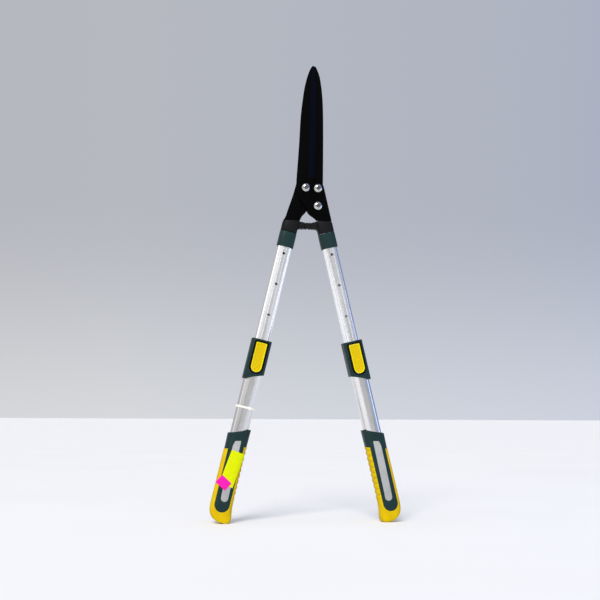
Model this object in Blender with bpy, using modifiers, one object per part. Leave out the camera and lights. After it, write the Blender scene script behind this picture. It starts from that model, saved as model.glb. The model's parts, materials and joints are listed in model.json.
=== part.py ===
"""Telescopic compound-action hedge shears, closed and standing on their grip butts.

Frame: metres, +Z up, +X to the right, front face towards -Y. The origin lies on the floor,
midway between the two butts, in the middle plane of the handles.

Each handle is modelled in its own frame: local Z runs up the handle's axis from the floor
plane, local X is across the handle and local Y through it. "Outward" is away from the other
handle, so it is local +X on the right handle (side = 1) and local -X on the left (side = -1).
"""

import math

import bmesh
import bpy
from mathutils import Matrix, Vector

MM = 0.001
GAP = 0.3 * MM
ROUND_STEPS = 24
SIDES = {"left": -1, "right": 1}

# Stance: where each handle's axis meets the floor, and how far it leans inwards
STANCE_HALF_WIDTH = 169.5 * MM
HANDLE_TILT = math.radians(13.4)

# Head: pivots in the XZ plane, and plate layers along Y from front to back
BLADE_PIVOT = Vector((-3.2 * MM, 0, 645.0 * MM))
LEVER_PIVOT = Vector((20.2 * MM, 0, 643.7 * MM))
DRIVE_PIN = Vector((20.2 * MM, 0, 608.7 * MM))
PLATE_THICKNESS = 3.0 * MM
LAYER_PITCH = PLATE_THICKNESS + GAP
LEVER_TRAVEL = math.radians(60)

BOLT_STEPS = 18
BOLT_HEAD_RADIUS = 7.8 * MM
BOLT_HEAD_HEIGHT = 3.4 * MM
SHANK_RADIUS = 4.0 * MM
NUT_RADIUS = 7.6 * MM
NUT_HEIGHT = 4.2 * MM
THREAD_END = 1.0 * MM
SOCKET_RADIUS = 3.4 * MM
SOCKET_DEPTH = 1.9 * MM
WASHER_RADIUS = 8.6 * MM
WASHER_THICKNESS = 1.2 * MM
SPACER_RADIUS = 8.0 * MM
HUB_RADIUS = 12.0 * MM
HEEL_RADIUS = 14.6 * MM
SLOT_SIDE_PLAY = 0.8 * MM
SLOT_WALL = 4.5 * MM
GRIND_WIDTH = 13.5 * MM
GRIND_DROP = 2.1 * MM

# Tubes: half sizes across (local X) and through (local Y)
WALL = 1.2 * MM
UPPER_TUBE = (14.3 * MM, 10.8 * MM)
LOWER_TUBE = (17.0 * MM, 13.5 * MM)
TUBE_POWER = 2.5
GROOVE_HALF_WIDTH = 3.5 * MM
GROOVE_DEPTH = 1.3 * MM
GROOVE_FLANK = 0.4 * MM
UPPER_TUBE_TOP = 571.0 * MM
UPPER_TUBE_FOOT = 282.3 * MM
LOWER_TUBE_TOP = 350.6 * MM
LOWER_TUBE_FOOT = 24.0 * MM
LOCK_HOLE_RADIUS = 2.6 * MM
LOCK_HOLE_PITCH = 61.6 * MM
LOCK_HOLE_COUNT = 4
LOCK_Z = 342.3 * MM
LOCK_WINDOW_RADIUS = 3.2 * MM
LINER_LENGTH = 34.0 * MM

# Ferrule, bumper and collar
FERRULE = (15.9 * MM, 13.0 * MM)
FERRULE_POWER = 3.2
FERRULE_TOP = 593.6 * MM
FERRULE_PLUG_FOOT = 545.0 * MM
TANG_HALF_WIDTH = 10.3 * MM
TANG_FOOT = 552.0 * MM
COLLAR = (16.3 * MM, 13.3 * MM)
COLLAR_POWER = 2.8
COLLAR_FOOT = 540.6 * MM
RIVET_Z = 556.0 * MM
RIVET_RADIUS = 1.7 * MM
RIVET_HEAD_RADIUS = 3.4 * MM
RIVET_START = 6.0 * MM
BUMPER_MEETING_X = 0.9 * MM
BUMPER_Z = 568.4 * MM
BUMPER_LENGTH = 6.6 * MM
BUMPER_HALF_DEPTH = 7.0 * MM

# Lock sleeve, bezel and button
SLEEVE = (19.3 * MM, 17.5 * MM)
SLEEVE_POWER = 4.0
SLEEVE_TOP = 354.3 * MM
SLEEVE_FOOT = 281.8 * MM
SLEEVE_FOOT_SLOPE = -0.36
BUTTON_HALF_WIDTH = 10.4 * MM
BUTTON_TOP = 347.8 * MM
BUTTON_FOOT = 291.0 * MM
BUTTON_CLEARANCE = 0.6 * MM
BUTTON_FRONT = -20.5 * MM
BUTTON_BACK = -14.4 * MM
BEZEL_WALL = 2.6 * MM
BEZEL_FRONT = -18.6 * MM
BEZEL_BACK = -14.1 * MM
ROCKER_PIVOT_Y = -17.0 * MM
ROCKER_PIVOT_Z = 322.0 * MM
ROCKER_PIN_RADIUS = 1.0 * MM
LOCK_PIN_RADIUS = 2.0 * MM
SPRING_Z = 304.0 * MM
SPRING_RADIUS = 2.3 * MM
SPRING_WIRE_RADIUS = 0.32 * MM
SPRING_POCKET_RADIUS = 3.4 * MM
SPRING_POCKET_DEPTH = 1.4 * MM
ROCKER_RELIEF = math.radians(4.6)

# Grip
GRIP_POWER = 3.0
GRIP_TOP = 176.3 * MM
GRIP_TOP_SLOPE = -0.364
OVERMOULD_TOP = 144.4 * MM
OVERMOULD_TOP_SLOPE = -0.3
OVERMOULD_THICKNESS = 1.8 * MM
PANEL_HALF_WIDTH = 14.7 * MM
PANEL_FOOT = 22.4 * MM
INSET_HALF_WIDTH = 6.8 * MM
INSET_TOP = 157.6 * MM
INSET_FOOT = 42.6 * MM
INSET_FACE = 17.6 * MM
INSET_THICKNESS = 2.4 * MM
TIE_Z = 222.0 * MM
TIE_THICKNESS = 1.4 * MM
TIE_HALF_WIDTH = 1.9 * MM
LABEL_THICKNESS = 0.4 * MM
# Height up the axis, inner edge, outer edge, half depth, squareness: the butt hooks inwards and
# rolls round at its outer side, and stands on the edge of its squarer bottom sections
GRIP_STATIONS = [
    (3.7, -15.5, -2.5, 14.3, 7.0),
    (5.0, -19.4, 3.6, 15.5, 5.6),
    (7.4, -22.4, 8.6, 16.3, 4.4),
    (10.8, -24.0, 13.2, 16.9, 3.6),
    (15.8, -24.0, 16.8, 17.2, 3.2),
    (22.5, -22.9, 19.3, 17.4, GRIP_POWER),
    (31.0, -21.6, 20.4, 17.4, GRIP_POWER),
    (42.0, -20.8, 20.6, 17.4, GRIP_POWER),
]

MATERIALS = {
    "blade_black": ((0.012, 0.013, 0.016), 0.32, 0.6),
    "zinc_steel": ((0.62, 0.63, 0.64), 0.28, 1.0),
    "aluminium": ((0.78, 0.79, 0.81), 0.26, 1.0),
    "charcoal_plastic": ((0.016, 0.016, 0.017), 0.55, 0.0),
    "rubber_black": ((0.013, 0.013, 0.013), 0.8, 0.0),
    "green_plastic": ((0.014, 0.042, 0.036), 0.48, 0.0),
    "yellow_plastic": ((0.83, 0.62, 0.01), 0.4, 0.0),
    "yellow_soft": ((0.74, 0.5, 0.012), 0.6, 0.0),
    "grey_soft": ((0.42, 0.42, 0.43), 0.65, 0.0),
    "natural_nylon": ((0.8, 0.79, 0.7), 0.45, 0.0),
    "label_yellow": ((0.85, 0.9, 0.0), 0.6, 0.0),
    "label_pink": ((0.9, 0.02, 0.42), 0.6, 0.0),
}


# ---------------------------------------------------------------- scene helpers


def clear_scene():
    for item in list(bpy.data.objects):
        bpy.data.objects.remove(item, do_unlink=True)


def make_collection(name):
    collection = bpy.data.collections.new(name)
    bpy.context.scene.collection.children.link(collection)
    return collection


def make_material(name):
    colour, roughness, metallic = MATERIALS[name]
    material = bpy.data.materials.new(name)
    material.use_nodes = True
    shader = material.node_tree.nodes["Principled BSDF"]
    shader.inputs["Base Color"].default_value = (*colour, 1)
    shader.inputs["Roughness"].default_value = roughness
    shader.inputs["Metallic"].default_value = metallic
    return material


def add_part(name, mesh, material, parent=None):
    """Put a mesh, already in its parent's frame, into the model."""
    part = bpy.data.objects.new(name, mesh)
    mesh.materials.clear()
    mesh.materials.append(bpy.data.materials[material])
    parts.objects.link(part)
    part.parent = parent
    return part


def add_cutter(name, mesh, parent=None):
    cutter = bpy.data.objects.new(name, mesh)
    cutters.objects.link(cutter)
    cutter.parent = parent
    cutter.hide_render = True
    cutter.display_type = "WIRE"
    return cutter


def add_empty(name, location, tilt=0.0, parent=None):
    empty = bpy.data.objects.new(name, None)
    parts.objects.link(empty)
    empty.location = location
    empty.rotation_euler = (0, tilt, 0)
    empty.parent = parent
    return empty


def boolean(part, other, operation="DIFFERENCE"):
    modifier = part.modifiers.new(f"{operation.lower()}_{other.name}", "BOOLEAN")
    modifier.operation = operation
    modifier.object = other
    modifier.solver = "EXACT"


def bevel(part, width, segments=2, angle=35):
    modifier = part.modifiers.new("bevel", "BEVEL")
    modifier.width = width
    modifier.segments = segments
    modifier.limit_method = "ANGLE"
    modifier.angle_limit = math.radians(angle)
    modifier.harden_normals = False


def smooth(part, angle=35):
    part.data.shade_smooth()
    part.data.set_sharp_from_angle(angle=math.radians(angle))


# ---------------------------------------------------------------- mesh helpers


def extruded(loops, depth, matrix):
    """Mesh of a flat outline with holes, drawn in local XY and given depth about Z = 0."""
    curve = bpy.data.curves.new("outline", "CURVE")
    curve.dimensions = "2D"
    curve.fill_mode = "BOTH"
    curve.extrude = depth / 2
    curve.render_resolution_u = 0
    for loop in loops:
        spline = curve.splines.new("POLY")
        spline.points.add(len(loop) - 1)
        for point, (x, y) in zip(spline.points, loop):
            point.co = (x, y, 0, 1)
        spline.use_cyclic_u = True
    return curve_mesh(curve, matrix)


def curve_mesh(curve, matrix):
    """Closed mesh of a curve with its caps welded on, moved by the matrix."""
    holder = bpy.data.objects.new("curve", curve)
    bpy.context.scene.collection.objects.link(holder)
    depsgraph = bpy.context.evaluated_depsgraph_get()
    mesh = bpy.data.meshes.new_from_object(holder.evaluated_get(depsgraph))
    bpy.data.objects.remove(holder)
    bpy.data.curves.remove(curve)
    shell = bmesh.new()
    shell.from_mesh(mesh)
    bmesh.ops.remove_doubles(shell, verts=shell.verts, dist=0.001 * MM)
    bmesh.ops.transform(shell, matrix=matrix, verts=shell.verts)
    bmesh.ops.recalc_face_normals(shell, faces=shell.faces)
    shell.to_mesh(mesh)
    shell.free()
    return mesh


def along_z(loops, low, high):
    """Prism of an XY outline between two heights."""
    return extruded(loops, high - low, Matrix.Translation((0, 0, (low + high) / 2)))


def through_y(loops, front, back, shift=Vector((0, 0, 0))):
    """Prism of an XZ outline between two depths, then moved by shift."""
    place = Matrix.Translation(Vector((0, (front + back) / 2, 0)) + shift)
    return extruded(loops, abs(back - front), place @ Matrix.Rotation(math.pi / 2, 4, "X"))


def loft(rings):
    """Closed solid through rings of equal point count, with a flat cap at each end."""
    shell = bmesh.new()
    rows = [[shell.verts.new(point) for point in ring] for ring in rings]
    count = len(rows[0])
    for lower, upper in zip(rows, rows[1:]):
        for i in range(count):
            j = (i + 1) % count
            shell.faces.new((lower[i], lower[j], upper[j], upper[i]))
    shell.faces.new(rows[0])
    shell.faces.new(rows[-1])
    bmesh.ops.recalc_face_normals(shell, faces=shell.faces)
    mesh = bpy.data.meshes.new("loft")
    shell.to_mesh(mesh)
    shell.free()
    return mesh


def cylinder(radius, length, matrix, segments=20):
    """Cylinder about local Z, centred on the matrix's origin."""
    shell = bmesh.new()
    bmesh.ops.create_cone(
        shell, cap_ends=True, segments=segments, radius1=radius, radius2=radius,
        depth=length, matrix=matrix,
    )
    mesh = bpy.data.meshes.new("cylinder")
    shell.to_mesh(mesh)
    shell.free()
    return mesh


def block(low, high):
    """Box between two corners."""
    low, high = Vector(low), Vector(high)
    size = Matrix.Diagonal((*(high - low), 1))
    shell = bmesh.new()
    bmesh.ops.create_cube(shell, size=1, matrix=Matrix.Translation((low + high) / 2) @ size)
    mesh = bpy.data.meshes.new("block")
    shell.to_mesh(mesh)
    shell.free()
    return mesh


def pin_matrix(x, y, z, axis="Y"):
    turn = Matrix.Rotation(math.pi / 2, 4, "X" if axis == "Y" else "Y")
    return Matrix.Translation((x, y, z)) @ turn


# ---------------------------------------------------------------- outline helpers


def arc(centre, radius, start, end, steps):
    """Points on an arc; angles in degrees from +X towards the second axis."""
    points = []
    for i in range(steps + 1):
        angle = math.radians(start + (end - start) * i / steps)
        points.append((centre[0] + radius * math.cos(angle), centre[1] + radius * math.sin(angle)))
    return points


def oval(half_width, half_depth, power=TUBE_POWER, count=ROUND_STEPS):
    """Superellipse outline, starting at +X."""
    points = []
    for i in range(count):
        angle = 2 * math.pi * i / count
        c, s = math.cos(angle), math.sin(angle)
        x = math.copysign(abs(c) ** (2 / power), c) * half_width
        y = math.copysign(abs(s) ** (2 / power), s) * half_depth
        points.append((x, y))
    return points


def grooved_oval(half_width, half_depth, groove_half, depth=GROOVE_DEPTH):
    """Oval with a flat-bottomed groove down its front and its back."""
    front_edge = half_depth * (1 - (groove_half / half_width) ** TUBE_POWER) ** (1 / TUBE_POWER)
    floor = half_depth - depth
    points = []
    for sign in (1, -1):
        half = [p for p in oval(half_width, half_depth) if sign * p[1] > 1e-9]
        side = [p for p in half if abs(p[0]) > groove_half]
        right = [p for p in side if p[0] > 0]
        left = [p for p in side if p[0] < 0]
        foot = groove_half - GROOVE_FLANK
        groove = [(groove_half, front_edge), (foot, floor), (-foot, floor), (-groove_half, front_edge)]
        if sign > 0:
            points += [(half_width, 0)] + right + groove + left
        else:
            points += [(-half_width, 0)] + left + [(-x, -y) for x, y in groove] + right
    return points


def slot_button_outline(half_width, foot, top, corner=1.6 * MM):
    """Outline with a round lower end and small top corners, in local XZ."""
    points = arc((0, foot + half_width), half_width, 180, 360, 14)
    points += arc((half_width - corner, top - corner), corner, 0, 90, 3)
    points += arc((-half_width + corner, top - corner), corner, 90, 180, 3)
    return points


def mirrored(points, side):
    """Flip an outline drawn for the right handle when it is for the left one."""
    return [(side * x, z) for x, z in points]


# ---------------------------------------------------------------- head


def tang_points(side, inner_reach):
    """World XZ points of a tang, from its outer shoulder at the ferrule round to its inner one."""
    def place(outward, height):
        x = STANCE_HALF_WIDTH - math.sin(HANDLE_TILT) * height + math.cos(HANDLE_TILT) * outward
        z = math.cos(HANDLE_TILT) * height + math.sin(HANDLE_TILT) * outward
        return (side * x, z)

    width = TANG_HALF_WIDTH - GAP
    outer_shoulder = FERRULE_TOP - 1.8 * MM
    inner_shoulder = FERRULE_TOP + 4.6 * MM
    return [
        place(15.6 * MM, outer_shoulder),
        place(width, outer_shoulder),
        place(width, TANG_FOOT + GAP),
        place(-width, TANG_FOOT + GAP),
        place(-width, inner_shoulder),
        place(-inner_reach, inner_shoulder),
    ]


def circle(centre, radius, count=20):
    return arc(centre, radius, 0, 360 * (count - 1) / count, count - 1)


def xz(point):
    return (point.x, point.z)


def add_plate(name, outline, holes, layer, pivot, parent):
    """Flat steel plate; layer counts plates from the middle one, negative towards the front."""
    shift = Vector((-pivot.x, 0, -pivot.z))
    middle = layer * LAYER_PITCH
    mesh = through_y(
        [outline] + holes, middle - PLATE_THICKNESS / 2, middle + PLATE_THICKNESS / 2, shift
    )
    return add_part(name, mesh, "blade_black", parent)


def build_rear_blade():
    """Right-hand blade and left tang: the plate that everything else hangs on."""
    tip = [(14.8, 891.0), (17.0, 887.6), (20.6, 879.6), (24.0, 869.5), (27.6, 848.0), (30.0, 822.5)]
    spine = [(31.2, 790.0), (31.5, 735.0), (31.2, 658.0)]
    edge = [(-5.0, 662.0), (-5.6, 720.0), (-5.2, 790.0), (-2.0, 830.0), (5.5, 868.8), (12.6, 889.0)]
    left_side = [(-43.0, 585.6), (-37.0, 603.4), (-29.6, 624.6), (-24.6, 641.5), (-21.0, 655.0)]
    hub = arc(xz(LEVER_PIVOT), HUB_RADIUS - 0.4 * MM, 20, -160, 12)
    outline = [(x * MM, z * MM) for x, z in tip + spine] + hub
    notch = [(0.0, 605.0), (-1.6, 598.6), (-4.8, 593.9), (-8.8, 589.8), (-12.2, 584.6)]
    outline += [(x * MM, z * MM) for x, z in notch]
    outline += tang_points(-1, 16.4 * MM)[::-1]
    outline += [(x * MM, z * MM) for x, z in left_side + edge]
    holes = [circle(xz(p), SHANK_RADIUS + GAP) for p in (BLADE_PIVOT, LEVER_PIVOT)]
    plate = add_plate("rear_blade", outline, holes, 1, Vector(), None)
    boolean(plate, bevel_cutter("rear_blade_grind", -1))
    return plate


def build_front_blade(parent):
    """Left-hand blade, its hub on the blade pivot and its slotted tail on the drive pin."""
    pivot = xz(BLADE_PIVOT)
    tip = [(10.4, 891.2), (5.8, 885.8), (2.2, 877.4), (-1.2, 867.5), (-6.4, 845.6), (-10.2, 820.0)]
    spine = [(-13.8, 787.0), (-16.9, 730.0), (-21.9, 655.0), (-21.3, 638.0)]
    tail_side = [(-12.0, 618.0), (2.0, 601.0)]
    edge = [(15.2, 665.0), (16.2, 730.0), (16.8, 800.0), (15.8, 850.0), (13.6, 881.0), (12.2, 889.4)]

    to_pin = DRIVE_PIN - BLADE_PIVOT
    slot_angle = math.degrees(math.atan2(to_pin.z, to_pin.x))
    near = to_pin.length
    opened = LEVER_PIVOT + Vector((math.sin(LEVER_TRAVEL), 0, -math.cos(LEVER_TRAVEL))) * (
        LEVER_PIVOT - DRIVE_PIN
    ).length
    far = (opened - BLADE_PIVOT).length
    slot_radius = SHANK_RADIUS + SLOT_SIDE_PLAY
    lobe_radius = slot_radius + SLOT_WALL
    outward = Vector((math.cos(math.radians(slot_angle)), math.sin(math.radians(slot_angle))))

    def on_slot(distance):
        return (pivot[0] + outward.x * distance, pivot[1] + outward.y * distance)

    spacer_sweep = (LEVER_PIVOT - BLADE_PIVOT).length + SPACER_RADIUS + 1.2 * MM
    lobe = arc(on_slot(far), lobe_radius, slot_angle - 90, slot_angle + 90, 10)
    notch_floor = arc(pivot, spacer_sweep, -42, -63, 3)
    heel = arc(pivot, HEEL_RADIUS, -63, 21, 9)
    outline = [(x * MM, z * MM) for x, z in tip + spine + tail_side]
    outline += lobe + notch_floor + heel + [(15.0 * MM, 652.0 * MM)]
    outline += [(x * MM, z * MM) for x, z in edge]
    slot = arc(on_slot(near), slot_radius, slot_angle + 90, slot_angle + 270, 8)
    slot += arc(on_slot(far), slot_radius, slot_angle - 90, slot_angle + 90, 8)
    holes = [circle(pivot, SHANK_RADIUS + GAP), slot]
    plate = add_plate("front_blade", outline, holes, 0, BLADE_PIVOT, parent)
    boolean(plate, bevel_cutter("front_blade_grind", 1, BLADE_PIVOT, parent))
    return plate


def bevel_cutter(name, face, pivot=Vector(), parent=None):
    """Wedge that grinds a cutting edge; face is 1 for the front blade, -1 for the rear one."""
    centre_x = 5.1 * MM
    start_low = Vector((-2.4 * MM * face + centre_x, 0, 666.0 * MM))
    start_high = Vector((1.6 * MM * face + centre_x, 0, 895.0 * MM))
    surface = -PLATE_THICKNESS / 2 if face > 0 else LAYER_PITCH + PLATE_THICKNESS / 2
    above = -6 * MM
    rings = []
    for start in (start_low, start_high):
        ring = []
        for across, down in (
            (0, 0), (2 * GRIND_WIDTH, 2 * GRIND_DROP), (2 * GRIND_WIDTH, above), (0, above)
        ):
            ring.append(Vector((start.x + face * across, surface + face * down, start.z)) - pivot)
        rings.append(ring)
    return add_cutter(name, loft(rings), parent)


def build_lever_plate(parent):
    """Right tang: a teardrop from the lever pivot down round the drive pin, then the tang."""
    lobe_radius = 25.0 * MM
    distance = (LEVER_PIVOT - DRIVE_PIN).length
    lean = math.degrees(math.asin((lobe_radius - HUB_RADIUS) / distance))
    hub = arc(xz(LEVER_PIVOT), HUB_RADIUS, 13.4, 180 + lean, 12)
    lobe = arc(xz(DRIVE_PIN), lobe_radius, 180 + lean, 236, 5)
    outline = hub + lobe + [(12.8 * MM, 583.6 * MM)] + tang_points(1, 13.6 * MM)[::-1]
    holes = [circle(xz(p), SHANK_RADIUS + GAP) for p in (LEVER_PIVOT, DRIVE_PIN)]
    return add_plate("lever_plate", outline, holes, -1, LEVER_PIVOT, parent)


def build_bolt(name, place, seat_y, end_y, parent, pivot=Vector()):
    """Domed cap screw, head to the front, with a hexagonal socket."""
    profile = [
        (0, BOLT_HEAD_HEIGHT),
        (0.55 * BOLT_HEAD_RADIUS, BOLT_HEAD_HEIGHT),
        (0.86 * BOLT_HEAD_RADIUS, 0.72 * BOLT_HEAD_HEIGHT),
        (BOLT_HEAD_RADIUS, 0.32 * BOLT_HEAD_HEIGHT),
        (BOLT_HEAD_RADIUS, 0),
        (SHANK_RADIUS, 0),
        (SHANK_RADIUS, seat_y - end_y + 0.6 * MM),
        (SHANK_RADIUS - 0.6 * MM, seat_y - end_y),
        (0, seat_y - end_y),
    ]
    edges = [(i, i + 1) for i in range(len(profile) - 1)]
    mesh = bpy.data.meshes.new(name)
    mesh.from_pydata([(r, 0, z) for r, z in profile], edges, [])
    bolt = add_part(name, mesh, "zinc_steel", parent)
    bolt.location = place - pivot + Vector((0, seat_y, 0))
    bolt.rotation_euler = (math.pi / 2, 0, 0)
    screw = bolt.modifiers.new("turn", "SCREW")
    screw.steps = BOLT_STEPS
    screw.render_steps = BOLT_STEPS
    screw.use_merge_vertices = True
    screw.merge_threshold = 0.05 * MM
    hexagon = cylinder(
        SOCKET_RADIUS, 2 * SOCKET_DEPTH, Matrix.Translation((0, 0, BOLT_HEAD_HEIGHT)), 6
    )
    socket = add_cutter(f"{name}_socket", hexagon, parent)
    socket.location = bolt.location
    socket.rotation_euler = bolt.rotation_euler
    boolean(bolt, socket)
    smooth(bolt)
    return bolt


def build_ring(name, place, radius, sides, front_y, thickness, parent, pivot=Vector()):
    """Washer, spacer or six-sided nut on a bolt's shank."""
    loops = [circle(xz(place), radius, sides), circle(xz(place), SHANK_RADIUS + GAP)]
    shift = Vector((-pivot.x, 0, -pivot.z))
    mesh = through_y(loops, front_y, front_y + thickness, shift)
    return add_part(name, mesh, "zinc_steel", parent)


def build_nut(name, place, front_y, parent, pivot=Vector()):
    return build_ring(name, place, NUT_RADIUS, 6, front_y, NUT_HEIGHT, parent, pivot)


def build_washer(name, place, radius, front_y, thickness, parent, pivot=Vector()):
    return build_ring(name, place, radius, 20, front_y, thickness, parent, pivot)


def build_head(blade_pivot, lever_pivot):
    half = PLATE_THICKNESS / 2
    rear_face = LAYER_PITCH + half
    lever_front = -LAYER_PITCH - half
    build_rear_blade()
    build_front_blade(blade_pivot)
    build_lever_plate(lever_pivot)

    nut_front = rear_face + GAP
    bolt_end = nut_front + NUT_HEIGHT + THREAD_END
    build_bolt("blade_pivot_bolt", BLADE_PIVOT, -half - GAP, bolt_end, None)
    build_nut("blade_pivot_nut", BLADE_PIVOT, nut_front, None)
    build_bolt("lever_pivot_bolt", LEVER_PIVOT, lever_front - GAP, bolt_end, None)
    build_nut("lever_pivot_nut", LEVER_PIVOT, nut_front, None)
    build_washer("lever_pivot_spacer", LEVER_PIVOT, SPACER_RADIUS, -half, PLATE_THICKNESS, None)

    washer_front = half + GAP
    nut_front = washer_front + WASHER_THICKNESS + GAP
    pin_end = nut_front + NUT_HEIGHT + THREAD_END
    build_bolt("drive_pin", DRIVE_PIN, lever_front - GAP, pin_end, lever_pivot, LEVER_PIVOT)
    build_washer(
        "drive_pin_washer", DRIVE_PIN, WASHER_RADIUS, washer_front, WASHER_THICKNESS,
        lever_pivot, LEVER_PIVOT,
    )
    build_nut("drive_pin_nut", DRIVE_PIN, nut_front, lever_pivot, LEVER_PIVOT)


# ---------------------------------------------------------------- arms


def slanted_prism(outline, low, high, low_slope=0.0, high_slope=0.0):
    """Prism of an XY outline whose end planes may slant along X."""
    rings = []
    for height, slope in ((low, low_slope), (high, high_slope)):
        rings.append([Vector((x, y, height + slope * x)) for x, y in outline])
    return loft(rings)


def build_ferrule(name, side, frame):
    """Moulded socket: a plug inside the tube, a shoulder, and an arm towards the other handle."""
    shoulder = oval(*FERRULE, FERRULE_POWER)
    top_slope = -side * math.tan(HANDLE_TILT)
    mesh = slanted_prism(shoulder, UPPER_TUBE_TOP + GAP, FERRULE_TOP, high_slope=top_slope)
    ferrule = add_part(f"{name}_ferrule", mesh, "charcoal_plastic", frame)

    plug = along_z([tube_bore_outline()], FERRULE_PLUG_FOOT, UPPER_TUBE_TOP + 2 * MM)
    boolean(ferrule, add_cutter(f"{name}_plug", plug, frame), "UNION")

    arm = through_y([bumper_arm_outline(side)], -BUMPER_HALF_DEPTH, BUMPER_HALF_DEPTH)
    boolean(ferrule, add_cutter(f"{name}_bumper_arm", arm), "UNION")

    layer = LAYER_PITCH * -side
    slot = add_cutter(
        f"{name}_tang_slot",
        block(
            (-TANG_HALF_WIDTH, layer - PLATE_THICKNESS / 2 - GAP, TANG_FOOT),
            (TANG_HALF_WIDTH, layer + PLATE_THICKNESS / 2 + GAP, FERRULE_TOP + 20 * MM),
        ),
        frame,
    )
    boolean(ferrule, slot)
    boolean(ferrule, rivet_hole(name, frame))
    return ferrule


def tube_bore_outline():
    """What fits inside the upper tube with a gap all round."""
    inside = [size - WALL - GAP for size in UPPER_TUBE]
    return grooved_oval(*inside, GROOVE_HALF_WIDTH + WALL + GAP)


def bumper_arm_outline(side):
    """World XZ outline of the arm, springing from the ferrule's inner side with an arched foot."""
    crown = [(30.0, 577.0), (20.0, 576.8), (14.5, 576.2)]
    foot = [(12.0, 562.6), (17.0, 562.2), (20.4, 559.6), (22.6, 554.6), (30.0, 556.2)]
    tip_x = side * BUMPER_MEETING_X + BUMPER_LENGTH
    tip = [(tip_x, BUMPER_Z + 6.2 * MM), (tip_x, BUMPER_Z - 5.6 * MM)]
    outline = [(x * MM, z * MM) for x, z in crown] + tip + [(x * MM, z * MM) for x, z in foot]
    return mirrored(outline, side)


def rivet_hole(name, frame):
    reach = 12 * MM
    middle = RIVET_START - 0.4 * MM + reach / 2
    hole = cylinder(RIVET_RADIUS + GAP, reach, pin_matrix(0, middle, RIVET_Z))
    return add_cutter(f"{name}_rivet_hole", hole, frame)


def build_bumper(name, side, parent, pivot=Vector()):
    """Rubber pad on the end of the ferrule's arm; the two pads meet when the shears are closed."""
    face = GAP / 2
    back = BUMPER_LENGTH - GAP
    outline = [
        (back, BUMPER_Z + 5.4 * MM),
        (2.4 * MM, BUMPER_Z + 6.0 * MM),
        (face, BUMPER_Z + 5.0 * MM),
        (face, BUMPER_Z - 3.2 * MM),
        (2.0 * MM, BUMPER_Z - 5.8 * MM),
        (back, BUMPER_Z - 5.0 * MM),
    ]
    outline = [(side * x + BUMPER_MEETING_X, z) for x, z in outline]
    shift = Vector((-pivot.x, 0, -pivot.z))
    mesh = through_y([outline], -BUMPER_HALF_DEPTH, BUMPER_HALF_DEPTH, shift)
    return add_part(f"{name}_bumper", mesh, "rubber_black", parent)


def build_upper_tube(name, frame):
    outer = grooved_oval(*UPPER_TUBE, GROOVE_HALF_WIDTH)
    inner = grooved_oval(*(size - WALL for size in UPPER_TUBE), GROOVE_HALF_WIDTH + WALL)
    mesh = along_z([outer, inner], UPPER_TUBE_FOOT, UPPER_TUBE_TOP)
    tube = add_part(f"{name}_upper_tube", mesh, "aluminium", frame)
    smooth(tube)
    for i in range(LOCK_HOLE_COUNT):
        place = pin_matrix(0, -UPPER_TUBE[1], LOCK_Z + i * LOCK_HOLE_PITCH)
        hole = cylinder(LOCK_HOLE_RADIUS, 10 * MM, place, 16)
        boolean(tube, add_cutter(f"{name}_lock_hole_{i + 1}", hole, frame))
    boolean(tube, rivet_hole(name, frame))


def build_collar(name, frame):
    clear = grooved_oval(*(size + GAP for size in UPPER_TUBE), GROOVE_HALF_WIDTH - GAP)
    mesh = along_z([oval(*COLLAR, COLLAR_POWER), clear], COLLAR_FOOT, UPPER_TUBE_TOP - 0.4 * MM)
    collar = add_part(f"{name}_collar", mesh, "green_plastic", frame)
    smooth(collar)
    boolean(collar, rivet_hole(name, frame))

    head_height = 1.0 * MM
    head_y = COLLAR[1] + GAP + head_height / 2
    length = head_y - RIVET_START
    shank = cylinder(RIVET_RADIUS, length, pin_matrix(0, RIVET_START + length / 2, RIVET_Z))
    rivet = add_part(f"{name}_collar_rivet", shank, "zinc_steel", frame)
    head = cylinder(RIVET_HEAD_RADIUS, head_height, pin_matrix(0, head_y, RIVET_Z))
    boolean(rivet, add_cutter(f"{name}_rivet_head", head, frame), "UNION")
    smooth(rivet)


def build_tube_guide(name, frame):
    """Shoe that runs in the lower tube, plugged into the foot of the upper one."""
    shoe = oval(*(size - WALL - GAP for size in LOWER_TUBE))
    mesh = along_z([shoe], UPPER_TUBE_FOOT - 7 * MM, UPPER_TUBE_FOOT - GAP)
    guide = add_part(f"{name}_tube_guide", mesh, "charcoal_plastic", frame)
    plug = along_z([tube_bore_outline()], UPPER_TUBE_FOOT - 2 * MM, UPPER_TUBE_FOOT + 12 * MM)
    boolean(guide, add_cutter(f"{name}_guide_plug", plug, frame), "UNION")
    smooth(guide)


def build_arm(name, side, frame):
    """Everything from the ferrule down to the foot of the upper tube."""
    build_ferrule(name, side, frame)
    build_upper_tube(name, frame)
    build_collar(name, frame)
    build_tube_guide(name, frame)


# ---------------------------------------------------------------- telescopic handles


def build_lower_tube(name, frame):
    loops = [oval(*LOWER_TUBE), oval(*(size - WALL for size in LOWER_TUBE))]
    mesh = along_z(loops, LOWER_TUBE_FOOT, LOWER_TUBE_TOP)
    tube = add_part(f"{name}_lower_tube", mesh, "aluminium", frame)
    smooth(tube)
    window = cylinder(LOCK_WINDOW_RADIUS, 12 * MM, pin_matrix(0, -LOWER_TUBE[1], LOCK_Z))
    window = add_cutter(f"{name}_lock_window", window, frame)
    boolean(tube, window)

    outer = oval(*(size - WALL - GAP for size in LOWER_TUBE))
    bore = oval(*(size + GAP for size in UPPER_TUBE))
    mesh = along_z([outer, bore], LOWER_TUBE_TOP - LINER_LENGTH, LOWER_TUBE_TOP - GAP)
    liner = add_part(f"{name}_tube_liner", mesh, "charcoal_plastic", frame)
    smooth(liner)
    boolean(liner, window)


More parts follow.
